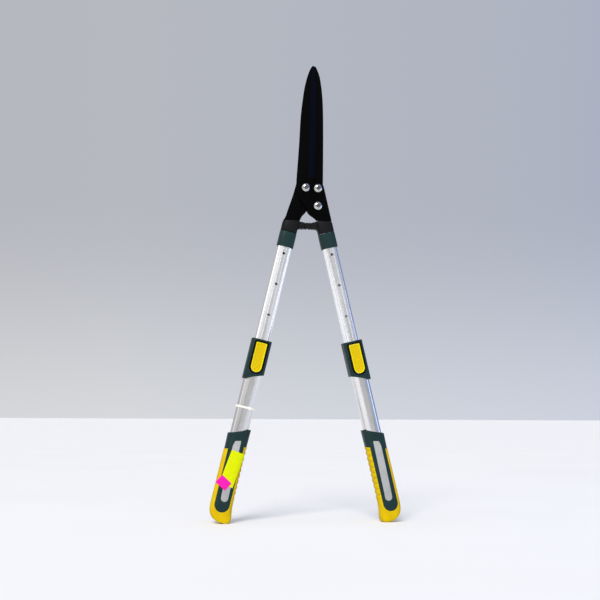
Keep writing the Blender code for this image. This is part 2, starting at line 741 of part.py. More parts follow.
def build_sleeve(name, side, frame):
    outline = oval(*SLEEVE, SLEEVE_POWER)
    mesh = slanted_prism(outline, SLEEVE_FOOT, SLEEVE_TOP, low_slope=side * SLEEVE_FOOT_SLOPE)
    sleeve = add_part(f"{name}_lock_sleeve", mesh, "green_plastic", frame)
    bevel(sleeve, 1.0 * MM, 1)
    smooth(sleeve)
    channel = oval(*(size + GAP for size in LOWER_TUBE))
    channel = along_z([channel], SLEEVE_FOOT - 20 * MM, LOWER_TUBE_TOP + GAP)
    boolean(sleeve, add_cutter(f"{name}_sleeve_channel", channel, frame))
    mouth = oval(*(size + GAP for size in UPPER_TUBE))
    mouth = along_z([mouth], LOWER_TUBE_TOP - 5 * MM, SLEEVE_TOP + 5 * MM)
    boolean(sleeve, add_cutter(f"{name}_sleeve_mouth", mouth, frame))
    window = button_frame_outline(BUTTON_CLEARANCE + BEZEL_WALL + GAP, 3 * MM)
    window = through_y([window], -30 * MM, -8 * MM)
    boolean(sleeve, add_cutter(f"{name}_sleeve_window", window, frame))


def button_frame_outline(grow, corner):
    """The button's outline, grown all round."""
    return slot_button_outline(
        BUTTON_HALF_WIDTH + grow, BUTTON_FOOT - grow, BUTTON_TOP + grow, corner
    )


def build_bezel(name, frame):
    outer = button_frame_outline(BUTTON_CLEARANCE + BEZEL_WALL, 2.8 * MM)
    inner = button_frame_outline(BUTTON_CLEARANCE, 1.6 * MM)
    mesh = through_y([outer, inner], BEZEL_FRONT, BEZEL_BACK)
    bezel = add_part(f"{name}_lock_bezel", mesh, "charcoal_plastic", frame)
    place = pin_matrix(0, ROCKER_PIVOT_Y, ROCKER_PIVOT_Z, "X")
    pin_way = cylinder(ROCKER_PIN_RADIUS + GAP, 40 * MM, place, 12)
    boolean(bezel, add_cutter(f"{name}_bezel_pin_way", pin_way, frame))
    length = 2 * (BUTTON_HALF_WIDTH + BUTTON_CLEARANCE + BEZEL_WALL - 0.4 * MM)
    pin = cylinder(ROCKER_PIN_RADIUS, length, place, 12)
    smooth(add_part(f"{name}_lock_pivot", pin, "zinc_steel", frame))


def build_button(name, rocker):
    """Rocker button, drawn about its cross pin: the lower end is pressed, the pin end lifts."""
    to_pivot = Vector((0, -ROCKER_PIVOT_Y, -ROCKER_PIVOT_Z))
    outline = slot_button_outline(BUTTON_HALF_WIDTH, BUTTON_FOOT, BUTTON_TOP)
    mesh = through_y([outline], BUTTON_FRONT, BUTTON_BACK, to_pivot)
    button = add_part(f"{name}_lock_button", mesh, "yellow_plastic", rocker)
    bevel(button, 0.9 * MM, 2)
    smooth(button)

    below_pivot = block((-30 * MM, 0, -60 * MM), (30 * MM, 30 * MM, 0))
    relief = add_cutter(f"{name}_button_relief", below_pivot, rocker)
    relief.location = (0, BUTTON_BACK - ROCKER_PIVOT_Y, 0)
    relief.rotation_euler = (-ROCKER_RELIEF, 0, 0)
    boolean(button, relief)
    pin_hole = cylinder(ROCKER_PIN_RADIUS + GAP, 40 * MM, pin_matrix(0, 0, 0, "X"), 12)
    boolean(button, add_cutter(f"{name}_button_pin_hole", pin_hole, rocker))
    nose_z = LOCK_Z - ROCKER_PIVOT_Z
    seat = cylinder(LOCK_PIN_RADIUS + GAP, 8 * MM, pin_matrix(0, 4.8 * MM, nose_z), 16)
    boolean(button, add_cutter(f"{name}_button_nose_seat", seat, rocker))
    depth = 10 * MM
    place = pin_matrix(0, depth / 2 - SPRING_POCKET_DEPTH, SPRING_Z - ROCKER_PIVOT_Z)
    pocket = cylinder(SPRING_POCKET_RADIUS, depth, place, 16)
    boolean(button, add_cutter(f"{name}_button_pocket", pocket, rocker))

    groove_floor = UPPER_TUBE[1] - GROOVE_DEPTH
    start = 0.8 * MM + GAP
    end = -groove_floor - 0.35 * MM - ROCKER_PIVOT_Y
    nose = cylinder(LOCK_PIN_RADIUS, end - start, pin_matrix(0, (start + end) / 2, nose_z), 16)
    smooth(add_part(f"{name}_lock_pin", nose, "zinc_steel", rocker))


def build_spring(name, frame):
    """Coil between the lower tube and the pocket under the button's lower end."""
    turns = 3.5
    per_turn = 8
    low = -LOWER_TUBE[1] - 0.45 * MM - SPRING_WIRE_RADIUS
    high = ROCKER_PIVOT_Y - SPRING_POCKET_DEPTH + 0.35 * MM + SPRING_WIRE_RADIUS
    curve = bpy.data.curves.new(f"{name}_spring", "CURVE")
    curve.dimensions = "3D"
    curve.bevel_depth = SPRING_WIRE_RADIUS
    curve.bevel_resolution = 1
    curve.use_fill_caps = True
    curve.render_resolution_u = 0
    spline = curve.splines.new("POLY")
    count = int(turns * per_turn)
    spline.points.add(count)
    for i, point in enumerate(spline.points):
        angle = 2 * math.pi * i / per_turn
        x, z = SPRING_RADIUS * math.cos(angle), SPRING_RADIUS * math.sin(angle)
        point.co = (x, low + (high - low) * i / count, SPRING_Z + z, 1)
    smooth(add_part(f"{name}_lock_spring", curve_mesh(curve, Matrix()), "zinc_steel", frame), 60)


def grip_loft(side, inset, top, top_slope):
    """Grip body, drawn in by inset all round, up to a slanted top plane."""
    rings = []
    for height, inner, outer, depth, power in GRIP_STATIONS:
        low_end = inset if height < 20 else 0
        drawn_in = (inner * MM + inset, outer * MM - inset, depth * MM - inset)
        rings.append((height * MM + low_end, *drawn_in, power, 0.0))
    rings.append((top, *rings[-1][1:4], GRIP_POWER, top_slope))
    loops = []
    for height, inner, outer, depth, power, slope in rings:
        middle = (inner + outer) / 2
        loop = []
        for x, y in oval((outer - inner) / 2, depth, power):
            across = x + middle
            loop.append(Vector((side * across, y, height + slope * across)))
        loops.append(loop)
    return loft(loops)


def panel_outline(shrink, top):
    half_width = PANEL_HALF_WIDTH - shrink
    return arc((0, PANEL_FOOT + shrink + half_width), half_width, 180, 360, 14) + [
        (half_width, top), (-half_width, top)
    ]


def inset_outline(side, grow=0.0):
    """Pad outline: slanted top with its outer corner cut off, round foot, leaning outwards."""
    half = INSET_HALF_WIDTH + grow
    top, foot = INSET_TOP + grow, INSET_FOOT - grow
    slope = math.tan(HANDLE_TILT)
    points = [(-half, top + slope * half - 1 * MM), (-half + 1 * MM, top + slope * half)]
    points += [(half - 2.8 * MM, top - slope * (half - 2.8 * MM)), (half, top - 11 * MM)]
    points += arc((0, foot + half), half, 0, -180, 12)
    lean = 0.017
    points = [(x + (z - 126 * MM) * lean, z) for x, z in points]
    return mirrored(points, side)


def build_grip(name, side, frame):
    body = grip_loft(side, 0, GRIP_TOP, GRIP_TOP_SLOPE)
    core = add_part(f"{name}_grip_core", body, "green_plastic", frame)
    smooth(core)
    skin = grip_loft(side, 0, OVERMOULD_TOP, OVERMOULD_TOP_SLOPE)
    overmould = add_part(f"{name}_grip_overmould", skin, "yellow_soft", frame)
    smooth(overmould)

    bed = grip_loft(side, OVERMOULD_THICKNESS, OVERMOULD_TOP + 20 * MM, OVERMOULD_TOP_SLOPE)
    boolean(overmould, add_cutter(f"{name}_overmould_bed", bed, frame))
    panel = panel_outline(0, OVERMOULD_TOP + 30 * MM)
    panel = add_cutter(f"{name}_overmould_panel", through_y([panel], -30 * MM, 30 * MM), frame)
    boolean(overmould, panel)

    recess = grip_loft(side, -1 * MM, OVERMOULD_TOP + GAP, OVERMOULD_TOP_SLOPE)
    recess = add_cutter(f"{name}_core_recess", recess, frame)
    kept = grip_loft(side, OVERMOULD_THICKNESS + GAP, OVERMOULD_TOP + 30 * MM, OVERMOULD_TOP_SLOPE)
    boolean(recess, add_cutter(f"{name}_core_kept", kept, frame))
    kept_panel = through_y([panel_outline(GAP, OVERMOULD_TOP + 40 * MM)], -40 * MM, 40 * MM)
    boolean(recess, add_cutter(f"{name}_core_panel", kept_panel, frame))
    boolean(core, recess)

    channel = oval(*(size + GAP for size in LOWER_TUBE))
    channel = along_z([channel], LOWER_TUBE_FOOT - GAP, GRIP_TOP + 30 * MM)
    boolean(core, add_cutter(f"{name}_grip_channel", channel, frame))

    for place, sign in (("front", -1), ("back", 1)):
        back = INSET_FACE - INSET_THICKNESS
        pad = through_y([inset_outline(side)], sign * back, sign * INSET_FACE)
        add_part(f"{name}_grip_inset_{place}", pad, "grey_soft", frame)
        pocket = through_y([inset_outline(side, GAP)], sign * (back - GAP), sign * 30 * MM)
        boolean(core, add_cutter(f"{name}_pocket_{place}", pocket, frame))


def build_handle(name, side, frame, rocker):
    build_lower_tube(name, frame)
    build_sleeve(name, side, frame)
    build_bezel(name, frame)
    build_button(name, rocker)
    build_spring(name, frame)
    build_grip(name, side, frame)


# ---------------------------------------------------------------- ties and labels


def build_cable_tie(frame):
    """Nylon band round the left lower tube, with its small locking head in front."""
    inner = oval(*(size + GAP for size in LOWER_TUBE))
    outer = oval(*(size + GAP + TIE_THICKNESS for size in LOWER_TUBE))
    mesh = along_z([outer, inner], TIE_Z - TIE_HALF_WIDTH, TIE_Z + TIE_HALF_WIDTH)
    band = add_part("cable_tie", mesh, "natural_nylon", frame)
    smooth(band)
    head_half = 2.6 * MM
    head_front = -LOWER_TUBE[1] - GAP - TIE_THICKNESS - 1.2 * MM
    head = block(
        (4 * MM, head_front, TIE_Z - head_half), (10 * MM, -LOWER_TUBE[1] + 0.5 * MM, TIE_Z + head_half)
    )
    boolean(band, add_cutter("cable_tie_head", head, frame), "UNION")
    bore = along_z([inner], TIE_Z - 9 * MM, TIE_Z + 9 * MM)
    boolean(band, add_cutter("cable_tie_bore", bore, frame))


def build_labels(frame):
    """Two blank paper labels lying on the left grip's front pad."""
    face = -INSET_FACE - 0.3 * MM
    for name, material, size, centre, lean, lift in (
        ("price_label", "label_yellow", (26.8, 66), (2.1, 105.0), 7.0, 0.0),
        ("small_label", "label_pink", (23.5, 18), (-7.4, 76.6), 29.5, 0.7),
    ):
        half_width, half_height = size[0] * MM / 2, size[1] * MM / 2
        back = face - lift * MM
        front = back - LABEL_THICKNESS
        mesh = block((-half_width, front, -half_height), (half_width, back, half_height))
        label = add_part(name, mesh, material, frame)
        label.location = (centre[0] * MM, 0, centre[1] * MM)
        label.rotation_euler = (0, math.radians(lean), 0)


# ---------------------------------------------------------------- assembly


def handle_frame(name, side, parent=None, pivot=Vector()):
    """Empty on the floor end of a handle's axis, its Z up the axis."""
    place = Vector((side * STANCE_HALF_WIDTH, 0, 0)) - pivot
    return add_empty(name, place, -side * HANDLE_TILT, parent)


def build_shears():
    for name in MATERIALS:
        make_material(name)
    blade_pivot = add_empty("front_blade_joint", BLADE_PIVOT)
    lever_pivot = add_empty("lever_joint", LEVER_PIVOT)
    build_head(blade_pivot, lever_pivot)
    for name, side in SIDES.items():
        parent, pivot = (lever_pivot, LEVER_PIVOT) if side > 0 else (None, Vector())
        arm = handle_frame(f"{name}_arm_axis", side, parent, pivot)
        build_arm(name, side, arm)
        build_bumper(name, side, parent, pivot)
        handle = handle_frame(f"{name}_slide_joint", side, parent, pivot)
        rocker = add_empty(f"{name}_rocker_joint", (0, ROCKER_PIVOT_Y, ROCKER_PIVOT_Z), 0, handle)
        build_handle(name, side, handle, rocker)
        if side < 0:
            build_cable_tie(handle)
            build_labels(handle)


clear_scene()
parts = make_collection("hedge_shears")
cutters = make_collection("cutters")
build_shears()
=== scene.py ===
"""Looks of the telescopic hedge shears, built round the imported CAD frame.

Metres throughout, in the CAD's frame: +Z up, front towards -Y. What belongs to a handle is drawn
in that handle's own frame: local Z runs up its axis, local X across it and local Y through it.
Its "outward" direction, away from the other handle, is local X times the handle's side.
"""

import json
import math

import bmesh
import bpy
from mathutils import Matrix, Quaternion, Vector


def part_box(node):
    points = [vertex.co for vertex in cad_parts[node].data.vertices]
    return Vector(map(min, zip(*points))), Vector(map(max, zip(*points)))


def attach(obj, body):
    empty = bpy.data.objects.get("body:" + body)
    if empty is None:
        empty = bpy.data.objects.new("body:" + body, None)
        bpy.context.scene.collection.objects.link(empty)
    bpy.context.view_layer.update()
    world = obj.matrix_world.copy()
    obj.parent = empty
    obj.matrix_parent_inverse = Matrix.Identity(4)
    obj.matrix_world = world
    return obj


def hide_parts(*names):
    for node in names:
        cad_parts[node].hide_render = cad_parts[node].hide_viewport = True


MM = 0.001
GAP = 0.3 * MM
MERGE = 0.004 * MM
SIDES = {"left": -1, "right": 1}
FACES = {"front": -1, "back": 1}

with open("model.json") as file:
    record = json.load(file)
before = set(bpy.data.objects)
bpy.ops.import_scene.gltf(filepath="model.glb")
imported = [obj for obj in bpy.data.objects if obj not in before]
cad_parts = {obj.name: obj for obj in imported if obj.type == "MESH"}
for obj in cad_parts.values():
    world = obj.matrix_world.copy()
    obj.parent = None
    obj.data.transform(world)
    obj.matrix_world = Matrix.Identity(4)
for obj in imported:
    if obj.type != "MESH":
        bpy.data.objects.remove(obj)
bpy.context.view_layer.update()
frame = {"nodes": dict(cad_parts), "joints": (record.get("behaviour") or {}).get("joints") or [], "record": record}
BODY_OF = {
    node: body for body, nodes in frame["record"]["behaviour"]["bodies"].items() for node in nodes
}
SLOT_OF = {part["node"]: part["material_slot"] for part in frame["record"]["subparts"]}


# ---------------------------------------------------------------- what the frame says


def handle_matrix(name):
    """The handle's frame, from the slide that runs along its axis."""
    joint = next(j for j in frame["joints"] if j["name"] == f"{name}_telescope")
    up, point = Vector(joint["axis"]).normalized(), Vector(joint["pos_m"])
    across = Vector((up.z, 0, -up.x))
    matrix = Matrix((across, (0, 1, 0), up)).transposed().to_4x4()
    matrix.translation = point - up * (point.z / up.z)
    return matrix


HANDLES = {name: handle_matrix(name) for name in SIDES}
TILT = math.asin(HANDLES["left"][0][2])


def local_box(node, matrix):
    """Lowest and highest corner of a CAD node in a handle's frame."""
    inverse = matrix.inverted()
    points = [inverse @ vertex.co for vertex in frame["nodes"][node].data.vertices]
    low = Vector([min(point[i] for point in points) for i in range(3)])
    high = Vector([max(point[i] for point in points) for i in range(3)])
    return low, high


def local_middle(node, matrix):
    low, high = local_box(node, matrix)
    return (low + high) / 2


def face_loops(node, level, matrix=Matrix()):
    """Closed outlines, in local XZ, of a CAD node's flat face at one depth; the outer one first."""
    bm = bmesh.new()
    bm.from_mesh(frame["nodes"][node].data)
    bm.transform(matrix.inverted())
    bmesh.ops.remove_doubles(bm, verts=bm.verts, dist=0.005 * MM)
    flat = {f for f in bm.faces if all(abs(v.co.y - level) < 0.02 * MM for v in f.verts)}
    following = {}
    for face in flat:
        for loop in face.loops:
            if not any(other in flat for other in loop.edge.link_faces if other is not face):
                following[loop.vert] = loop.link_loop_next.vert
    loops = []
    while following:
        vertex = next(iter(following))
        loop = []
        while vertex in following:
            loop.append(Vector((vertex.co.x, vertex.co.z)))
            vertex = following.pop(vertex)
        loops.append(without_straight_points(loop))
    bm.free()
    return sorted(loops, key=lambda points: -max(p.y for p in points) + min(p.y for p in points))


def without_straight_points(loop):
    """The outline without doubled points and points that lie between two others."""
    kept = []
    for i, point in enumerate(loop):
        before, after = point - loop[i - 1], loop[(i + 1) % len(loop)] - point
        if before.length > 0.02 * MM and before.angle(after, 0) > math.radians(0.3):
            kept.append(point)
    return kept


# ---------------------------------------------------------------- outlines


def refined(loop, steps=6, corner=35):
    """Smooth closed outline through a coarse one's points; turns sharper than corner stay sharp."""
    count = len(loop)
    chords = [loop[(i + 1) % count] - loop[i] for i in range(count)]
    tangents = []
    for i in range(count):
        before, after = chords[i - 1], chords[i]
        sharp = before.angle(after) > math.radians(corner)
        tangents.append(None if sharp else (before.normalized() + after.normalized()).normalized())
    points = []
    for i, chord in enumerate(chords):
        start, end = tangents[i], tangents[(i + 1) % count]
        length = chord.length
        leave = chord if start is None else start * min(length, 1.3 * chords[i - 1].length)
        arrive = chord if end is None else end * min(length, 1.3 * chords[(i + 1) % count].length)
        pieces = 1 if start is None and end is None else steps
        for k in range(pieces):
            t = k / pieces
            points.append(
                loop[i] * (2 * t**3 - 3 * t**2 + 1) + leave * (t**3 - 2 * t**2 + t)
                + (loop[i] + chord) * (3 * t**2 - 2 * t**3) + arrive * (t**3 - t**2)
            )
    return points


def rounded(loop, radius, steps=5, corner_angle=20):
    """Closed outline with each corner replaced by a curve that starts radius before it."""
    points = []
    for i, corner in enumerate(loop):
        to_last, to_next = loop[i - 1] - corner, loop[(i + 1) % len(loop)] - corner
        if to_last.angle(to_next) > math.radians(180 - corner_angle):
            points.append(corner)
            continue
        start = corner + to_last * min(radius / to_last.length, 0.5)
        end = corner + to_next * min(radius / to_next.length, 0.5)
        for k in range(steps + 1):
            t = k / steps
            points.append(start * (1 - t) ** 2 + corner * 2 * t * (1 - t) + end * t**2)
    return points


def oval_height(x, half_x, half_y, power):
    """Height above its middle line, at x, of a superellipse."""
    return half_y * max(0.0, 1 - abs(x / half_x) ** power) ** (1 / power)


def oval(half_x, half_y, power, count=96):
    """Superellipse outline, starting at +X."""
    points = []
    for i in range(count):
        angle = 2 * math.pi * i / count
        c, s = math.cos(angle), math.sin(angle)
        x = math.copysign(abs(c) ** (2 / power), c) * half_x
        y = math.copysign(abs(s) ** (2 / power), s) * half_y
        points.append(Vector((x, y)))
    return points


def quartered(front):
    """Whole outline from its quarter at +X and -Y, listed from the middle line outwards."""
    right = front + [Vector((p.x, -p.y)) for p in front[::-1]]
    return right + [Vector((-p.x, p.y)) for p in right[::-1]]


def at_height(outline, height, slope=0.0):
    """Ring of an outline in XY, in a plane that may slant along X."""
    return [Vector((p.x, p.y, height + slope * p.x)) for p in outline]


def slot_outline(half_width, foot, top, corner, steps=24):
    """Button outline in local XZ: a round lower end and small corners at the top."""
    points = []
    centres = [((0, foot + half_width), half_width, 180, 360, steps)]
    centres.append(((half_width - corner, top - corner), corner, 0, 90, 6))
    centres.append(((corner - half_width, top - corner), corner, 90, 180, 6))
    for (x, z), radius, start, end, pieces in centres:
        for i in range(pieces + 1):
            angle = math.radians(start + (end - start) * i / pieces)
            points.append(Vector((x + radius * math.cos(angle), z + radius * math.sin(angle))))
    return points


# ---------------------------------------------------------------- meshes


def add_object(name, data):
    item = bpy.data.objects.new(name, data)
    bpy.context.scene.collection.objects.link(item)
    return item


def skin(rings, wrap=False):
    """Solid through rings of equal point count; wrap joins the last ring to the first."""
    bm = bmesh.new()
    rows = [[bm.verts.new(point) for point in ring] for ring in rings]
    pairs = list(zip(rows, rows[1:]))
    if wrap:
        pairs.append((rows[-1], rows[0]))
    else:
        bm.faces.new(rows[0])
        bm.faces.new(rows[-1])
    for lower, upper in pairs:
        for i in range(len(lower)):
            j = (i + 1) % len(lower)
            bm.faces.new((lower[i], lower[j], upper[j], upper[i]))
    bmesh.ops.recalc_face_normals(bm, faces=bm.faces)
    return bm


def sheet(bm, rows):
    """Open grid through rows of points, added to a mesh."""
    grid = [[bm.verts.new(point) for point in row] for row in rows]
    for lower, upper in zip(grid, grid[1:]):
        for i in range(len(lower) - 1):
            bm.faces.new((lower[i], lower[i + 1], upper[i + 1], upper[i]))


def extruded(loops, low, high, along="Z"):
    """Prism of an outline with holes: drawn in XY and raised along Z, or in XZ and along Y."""
    curve = bpy.data.curves.new("outline", "CURVE")
    curve.dimensions = "2D"
    curve.fill_mode = "BOTH"
    curve.extrude = (high - low) / 2
    curve.resolution_u = 1
    for loop in loops:
        spline = curve.splines.new("POLY")
        spline.points.add(len(loop) - 1)
        for point, place in zip(spline.points, loop):
            point.co = (place[0], place[1], 0, 1)
        spline.use_cyclic_u = True
    bm = evaluated([add_object("outline", curve)])
    middle = (low + high) / 2
    move = Matrix.Translation((0, 0, middle))
    if along == "Y":
        move = Matrix.Translation((0, middle, 0)) @ Matrix.Rotation(math.pi / 2, 4, "X")
    bm.transform(move)
    bmesh.ops.remove_doubles(bm, verts=bm.verts, dist=0.001 * MM)
    bmesh.ops.dissolve_limit(bm, angle_limit=0.001, verts=bm.verts, edges=bm.edges)
    bmesh.ops.recalc_face_normals(bm, faces=bm.faces)
    return bm


def turned(profile, matrix, steps=64):
    """Solid of revolution about local Z; the profile lists (radius, height), both ends on axis."""
    rings = []
    for radius, height in profile:
        ring = []
        for i in range(steps):
            angle = 2 * math.pi * i / steps
            point = Vector((radius * math.cos(angle), radius * math.sin(angle), height))
            ring.append(matrix @ point)
        rings.append(ring)
    bm = skin(rings)
    bmesh.ops.remove_doubles(bm, verts=bm.verts, dist=0.001 * MM)
    bmesh.ops.recalc_face_normals(bm, faces=bm.faces)
    return bm


def rod(radius, low, high, matrix, steps):
    """Cylinder about local Z, or a prism when it has few steps."""
    return turned([(0, low), (radius, low), (radius, high), (0, high)], matrix, steps)


def box_mesh(low, high):
    low, high = Vector(low), Vector(high)
    bm = bmesh.new()
    place = Matrix.Translation((low + high) / 2) @ Matrix.Diagonal((*(high - low), 1))
    bmesh.ops.create_cube(bm, size=1, matrix=place)
    return bm


def facing_front(x, y, z):
    """Matrix whose local Z points to the front, out of the shears' plane."""
    return Matrix.Translation((x, y, z)) @ Matrix.Rotation(math.pi / 2, 4, "X")


def as_object(name, bm):
    mesh = bpy.data.meshes.new(name)
    bm.to_mesh(mesh)
    bm.free()
    return add_object(name, mesh)


def combined(bm, tools, operation="DIFFERENCE"):
    """Mesh after an exact boolean with each tool in turn."""
    holders = [as_object("temporary", part) for part in [bm, *tools]]
    for tool in holders[1:]:
        modify(holders[0], "BOOLEAN", operation=operation, object=tool, solver="EXACT")
    return evaluated(holders)


def with_bevel(bm, width, segments=3, angle=50):
    """Mesh with its sharp edges rounded."""
    holder = as_object("temporary", bm)
    limit = math.radians(angle)
    modify(holder, "BEVEL", width=width, segments=segments, limit_method="ANGLE", angle_limit=limit)
    return evaluated([holder])


def thickened(bm, thickness, offset):
    """Solid from an open sheet; offset -1 grows it inwards, and 0 to both sides."""
    holder = as_object("temporary", bm)
    modify(holder, "SOLIDIFY", thickness=thickness, offset=offset)
    return evaluated([holder])


def modify(holder, kind, **settings):
    modifier = holder.modifiers.new(kind.lower(), kind)
    for key, setting in settings.items():
        setattr(modifier, key, setting)


def evaluated(holders):
    """Mesh of the first object with its modifiers applied; all of them are then removed."""
    depsgraph = bpy.context.evaluated_depsgraph_get()
    result = bmesh.new()
    result.from_mesh(bpy.data.meshes.new_from_object(holders[0].evaluated_get(depsgraph)))
    for holder in holders:
        bpy.data.objects.remove(holder)
    return result


def add_piece(node, bm, matrix=Matrix(), materials=None, sharp=30):
    """Detailed piece that stands for a CAD node, and rides and is finished as that node is."""
    piece = as_object(f"{node}_detail", bm)
    piece.matrix_world = matrix
    for name in materials or [SLOT_OF[node]]:
        piece.data.materials.append(MATERIALS[name])
    piece.data.shade_smooth()
    piece.data.set_sharp_from_angle(angle=math.radians(sharp))
    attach(piece, BODY_OF[node])
    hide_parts(node)
    return piece


# ---------------------------------------------------------------- materials


def add_node(tree, kind, inputs, **settings):
    """Node whose inputs are given as values, or as the sockets that feed them."""
    node = tree.nodes.new(kind)
    for key, setting in settings.items():
        setattr(node, key, setting)
    for socket, source in inputs.items():
        if isinstance(source, bpy.types.NodeSocket):
            tree.links.new(source, node.inputs[socket])
        else:
            node.inputs[socket].default_value = source
    return node


def add_ramp(tree, value, stops):
    """Colour or grey along a value; each stop is (place, colour)."""
    ramp = add_node(tree, "ShaderNodeValToRGB", {"Fac": value})
    elements = ramp.color_ramp.elements
    while len(elements) < len(stops):
        elements.new(0.5)
    for element, (place, colour) in zip(elements, stops):
        element.position = place
        element.color = (*colour, 1) if isinstance(colour, tuple) else (colour, colour, colour, 1)
    return ramp.outputs["Color"]


class Finish:
    """A Principled material under construction, with procedural detail in object coordinates."""

    def __init__(self, name, roughness, metallic=0.0, **sockets):
        self.name = name
        self.material = bpy.data.materials.new(f"{name}_finish")
        self.material.use_nodes = True
        self.tree = self.material.node_tree
        self.shader = self.tree.nodes["Principled BSDF"]
        self.place = self.tree.nodes.new("ShaderNodeTexCoord").outputs["Object"]
        self.relief = None
        self.set(Roughness=roughness, Metallic=metallic, **sockets)

    def set(self, **sockets):
        """Constant values on the shader's own sockets."""
        for socket, value in sockets.items():
            self.shader.inputs[socket.replace("_", " ")].default_value = value

    def noise(self, scale, stretch=(1, 1, 1), detail=3.0):
        """Noise of about scale features a metre, drawn out where stretch is below 1."""
        inputs = {"Vector": self.place, "Scale": stretch}
        mapping = add_node(self.tree, "ShaderNodeMapping", inputs)
        inputs = {"Vector": mapping.outputs["Vector"], "Scale": scale, "Detail": detail}
        return add_node(self.tree, "ShaderNodeTexNoise", inputs).outputs["Fac"]

    def bands(self, scale, direction, distortion=0.0):
        """Parallel ridges, about scale a metre across one axis."""
        inputs = {"Vector": self.place, "Scale": scale * math.pi / 10, "Distortion": distortion}
        texture = add_node(self.tree, "ShaderNodeTexWave", inputs, bands_direction=direction)
        return texture.outputs["Fac"]

    def colour(self, value, dark, light, start=0.3, end=0.7):
        """Base colour that runs from dark to light between two levels of the value."""
        tint = add_ramp(self.tree, value, [(start, dark), (end, light)])
        self.tree.links.new(tint, self.shader.inputs["Base Color"])
        return self

    def roughness(self, value, low, high):
        level = add_ramp(self.tree, value, [(0.3, low), (0.7, high)])
        self.tree.links.new(level, self.shader.inputs["Roughness"])
        return self

    def bump(self, value, depth):
        """Relief of about depth metres on top of any before it."""
        inputs = {"Strength": 1.0, "Distance": depth, "Height": value}
        if self.relief is not None:
            inputs["Normal"] = self.relief
        self.relief = add_node(self.tree, "ShaderNodeBump", inputs).outputs["Normal"]
        self.tree.links.new(self.relief, self.shader.inputs["Normal"])
        return self


def coated_steel(name, dark, light, roughness):
    """Non-stick black coating: fine orange peel, faint rub marks along the blades."""
    finish = Finish(name, roughness, 0.0, Specular_IOR_Level=0.03)
    rub = finish.noise(55, (1.0, 1.0, 0.12), 4.0)
    finish.colour(rub, dark, light, end=0.75)
    finish.roughness(rub, roughness - 0.05, roughness + 0.08)
    finish.bump(finish.noise(1600, detail=2.0), 0.02 * MM)
    return finish


def ground_steel():
    """The coated ground bevel: finer, with the grinding marks running across the edge; its base colour is a
    painted reflection, lighter and bluish as if it mirrored the cool light on the right.
    """
    finish = coated_steel("blade_ground_painted_sheen", (0.0010, 0.0014, 0.0045), (0.0018, 0.0026, 0.0085), 0.3)
    return finish.bump(finish.noise(900, (0.05, 0.05, 1.0), 2.0), 0.015 * MM)


def zinc_steel(name="zinc_steel", shade=1.0):
    """Bright plating with faint stains; shade darkens the whole copy, which paints the shadow inside the bolts'
    hex sockets.
    """
    finish = Finish(name, 0.16, 1.0)
    stain = finish.noise(260, detail=3.0)
    dark = tuple(shade * c for c in (0.40, 0.40, 0.41))
    light = tuple(shade * c for c in (0.62, 0.62, 0.60))
    finish.colour(stain, dark, light, start=0.35)
    finish.roughness(stain, 0.1, 0.24)
    return finish.bump(finish.noise(900, detail=2.0), 0.012 * MM)


def aluminium(name, dark, light):
    """Drawn tube: bright, with fine lines along its length and faint smudges."""
    finish = Finish(name, 0.2, 1.0)
    lines = finish.noise(900, (1.0, 1.0, 0.006), 3.0)
    smudge = finish.noise(26, (1.0, 1.0, 0.3), 3.0)
    finish.colour(smudge, dark, light)
    finish.roughness(smudge, 0.16, 0.24)
    return finish.bump(lines, 0.012 * MM)


def moulded(name, dark, light, roughness, grain=0.03 * MM, **sockets):
    """Spark-eroded moulding texture over a slightly uneven colour."""
    finish = Finish(name, roughness, 0.0, **sockets)
    finish.colour(finish.noise(45, detail=4.0), dark, light)
    finish.roughness(finish.noise(120, detail=2.0), roughness - 0.06, roughness + 0.06)
    return finish.bump(finish.noise(1500, detail=3.0), grain)


def grip_yellow():
    """Soft overmould: matt grain, with a second, coarser relief."""
    finish = moulded(
        "yellow_soft", (0.52, 0.345, 0.0), (0.62, 0.44, 0.0), 0.55, 0.04 * MM,
        Specular_IOR_Level=0.08,
    )
    return finish.bump(finish.noise(240, detail=2.0), 0.03 * MM)


def button_yellow():
    """Glossy moulding, painted lighter on its raised rim as a highlight and darker and more orange in its sunk
    field as painted shade.
    """
    finish = Finish("yellow_plastic", 0.36, 0.0, Specular_IOR_Level=0.1)
    split = add_node(finish.tree, "ShaderNodeSeparateXYZ", {"Vector": finish.place})
    # Painted highlight and shade: the colour turns darker and more orange with depth behind the rim.
    levels = {"Value": split.outputs["Y"], "From Min": -20.4 * MM, "From Max": -19.5 * MM}
    depth = add_node(finish.tree, "ShaderNodeMapRange", levels).outputs["Result"]
    finish.colour(depth, (0.70, 0.60, 0.003), (0.57, 0.39, 0.0), 0.0, 1.0)
    finish.roughness(finish.noise(160, detail=2.0), 0.3, 0.42)
    return finish.bump(finish.noise(1100, detail=2.0), 0.012 * MM)


def inset_grey():
    """Soft grey pad with fine diagonal ribs."""
    finish = moulded("grey_soft", (0.29, 0.30, 0.30), (0.36, 0.37, 0.37), 0.6, 0.03 * MM)
    return finish.bump(finish.bands(420, "DIAGONAL", 0.3), 0.05 * MM)


def nylon():
    """Uncoloured nylon, which light enters a little way."""
    return moulded(
        "natural_nylon", (0.8, 0.78, 0.68), (0.88, 0.87, 0.8), 0.4, 0.01 * MM,
        Subsurface_Weight=0.15, Subsurface_Radius=(1 * MM, 1 * MM, 1 * MM),
    )


def paper(name, dark, light):
    """Fluorescent label paper: fibres, slight cockle and a soft painted glow, an emission standing in for its
    fluorescent brightness.
    """
    finish = Finish(name, 0.62, 0.0, Specular_IOR_Level=0.08)
    fibre = finish.noise(700, (1.0, 1.0, 0.5), 5.0)
    finish.colour(fibre, dark, light)
    # Painted glow: a weak emission of the paper's own light colour.
    finish.set(Emission_Color=(*light, 1), Emission_Strength=0.1)
    finish.bump(fibre, 0.01 * MM)
    return finish.bump(finish.noise(70, detail=1.0), 0.12 * MM)


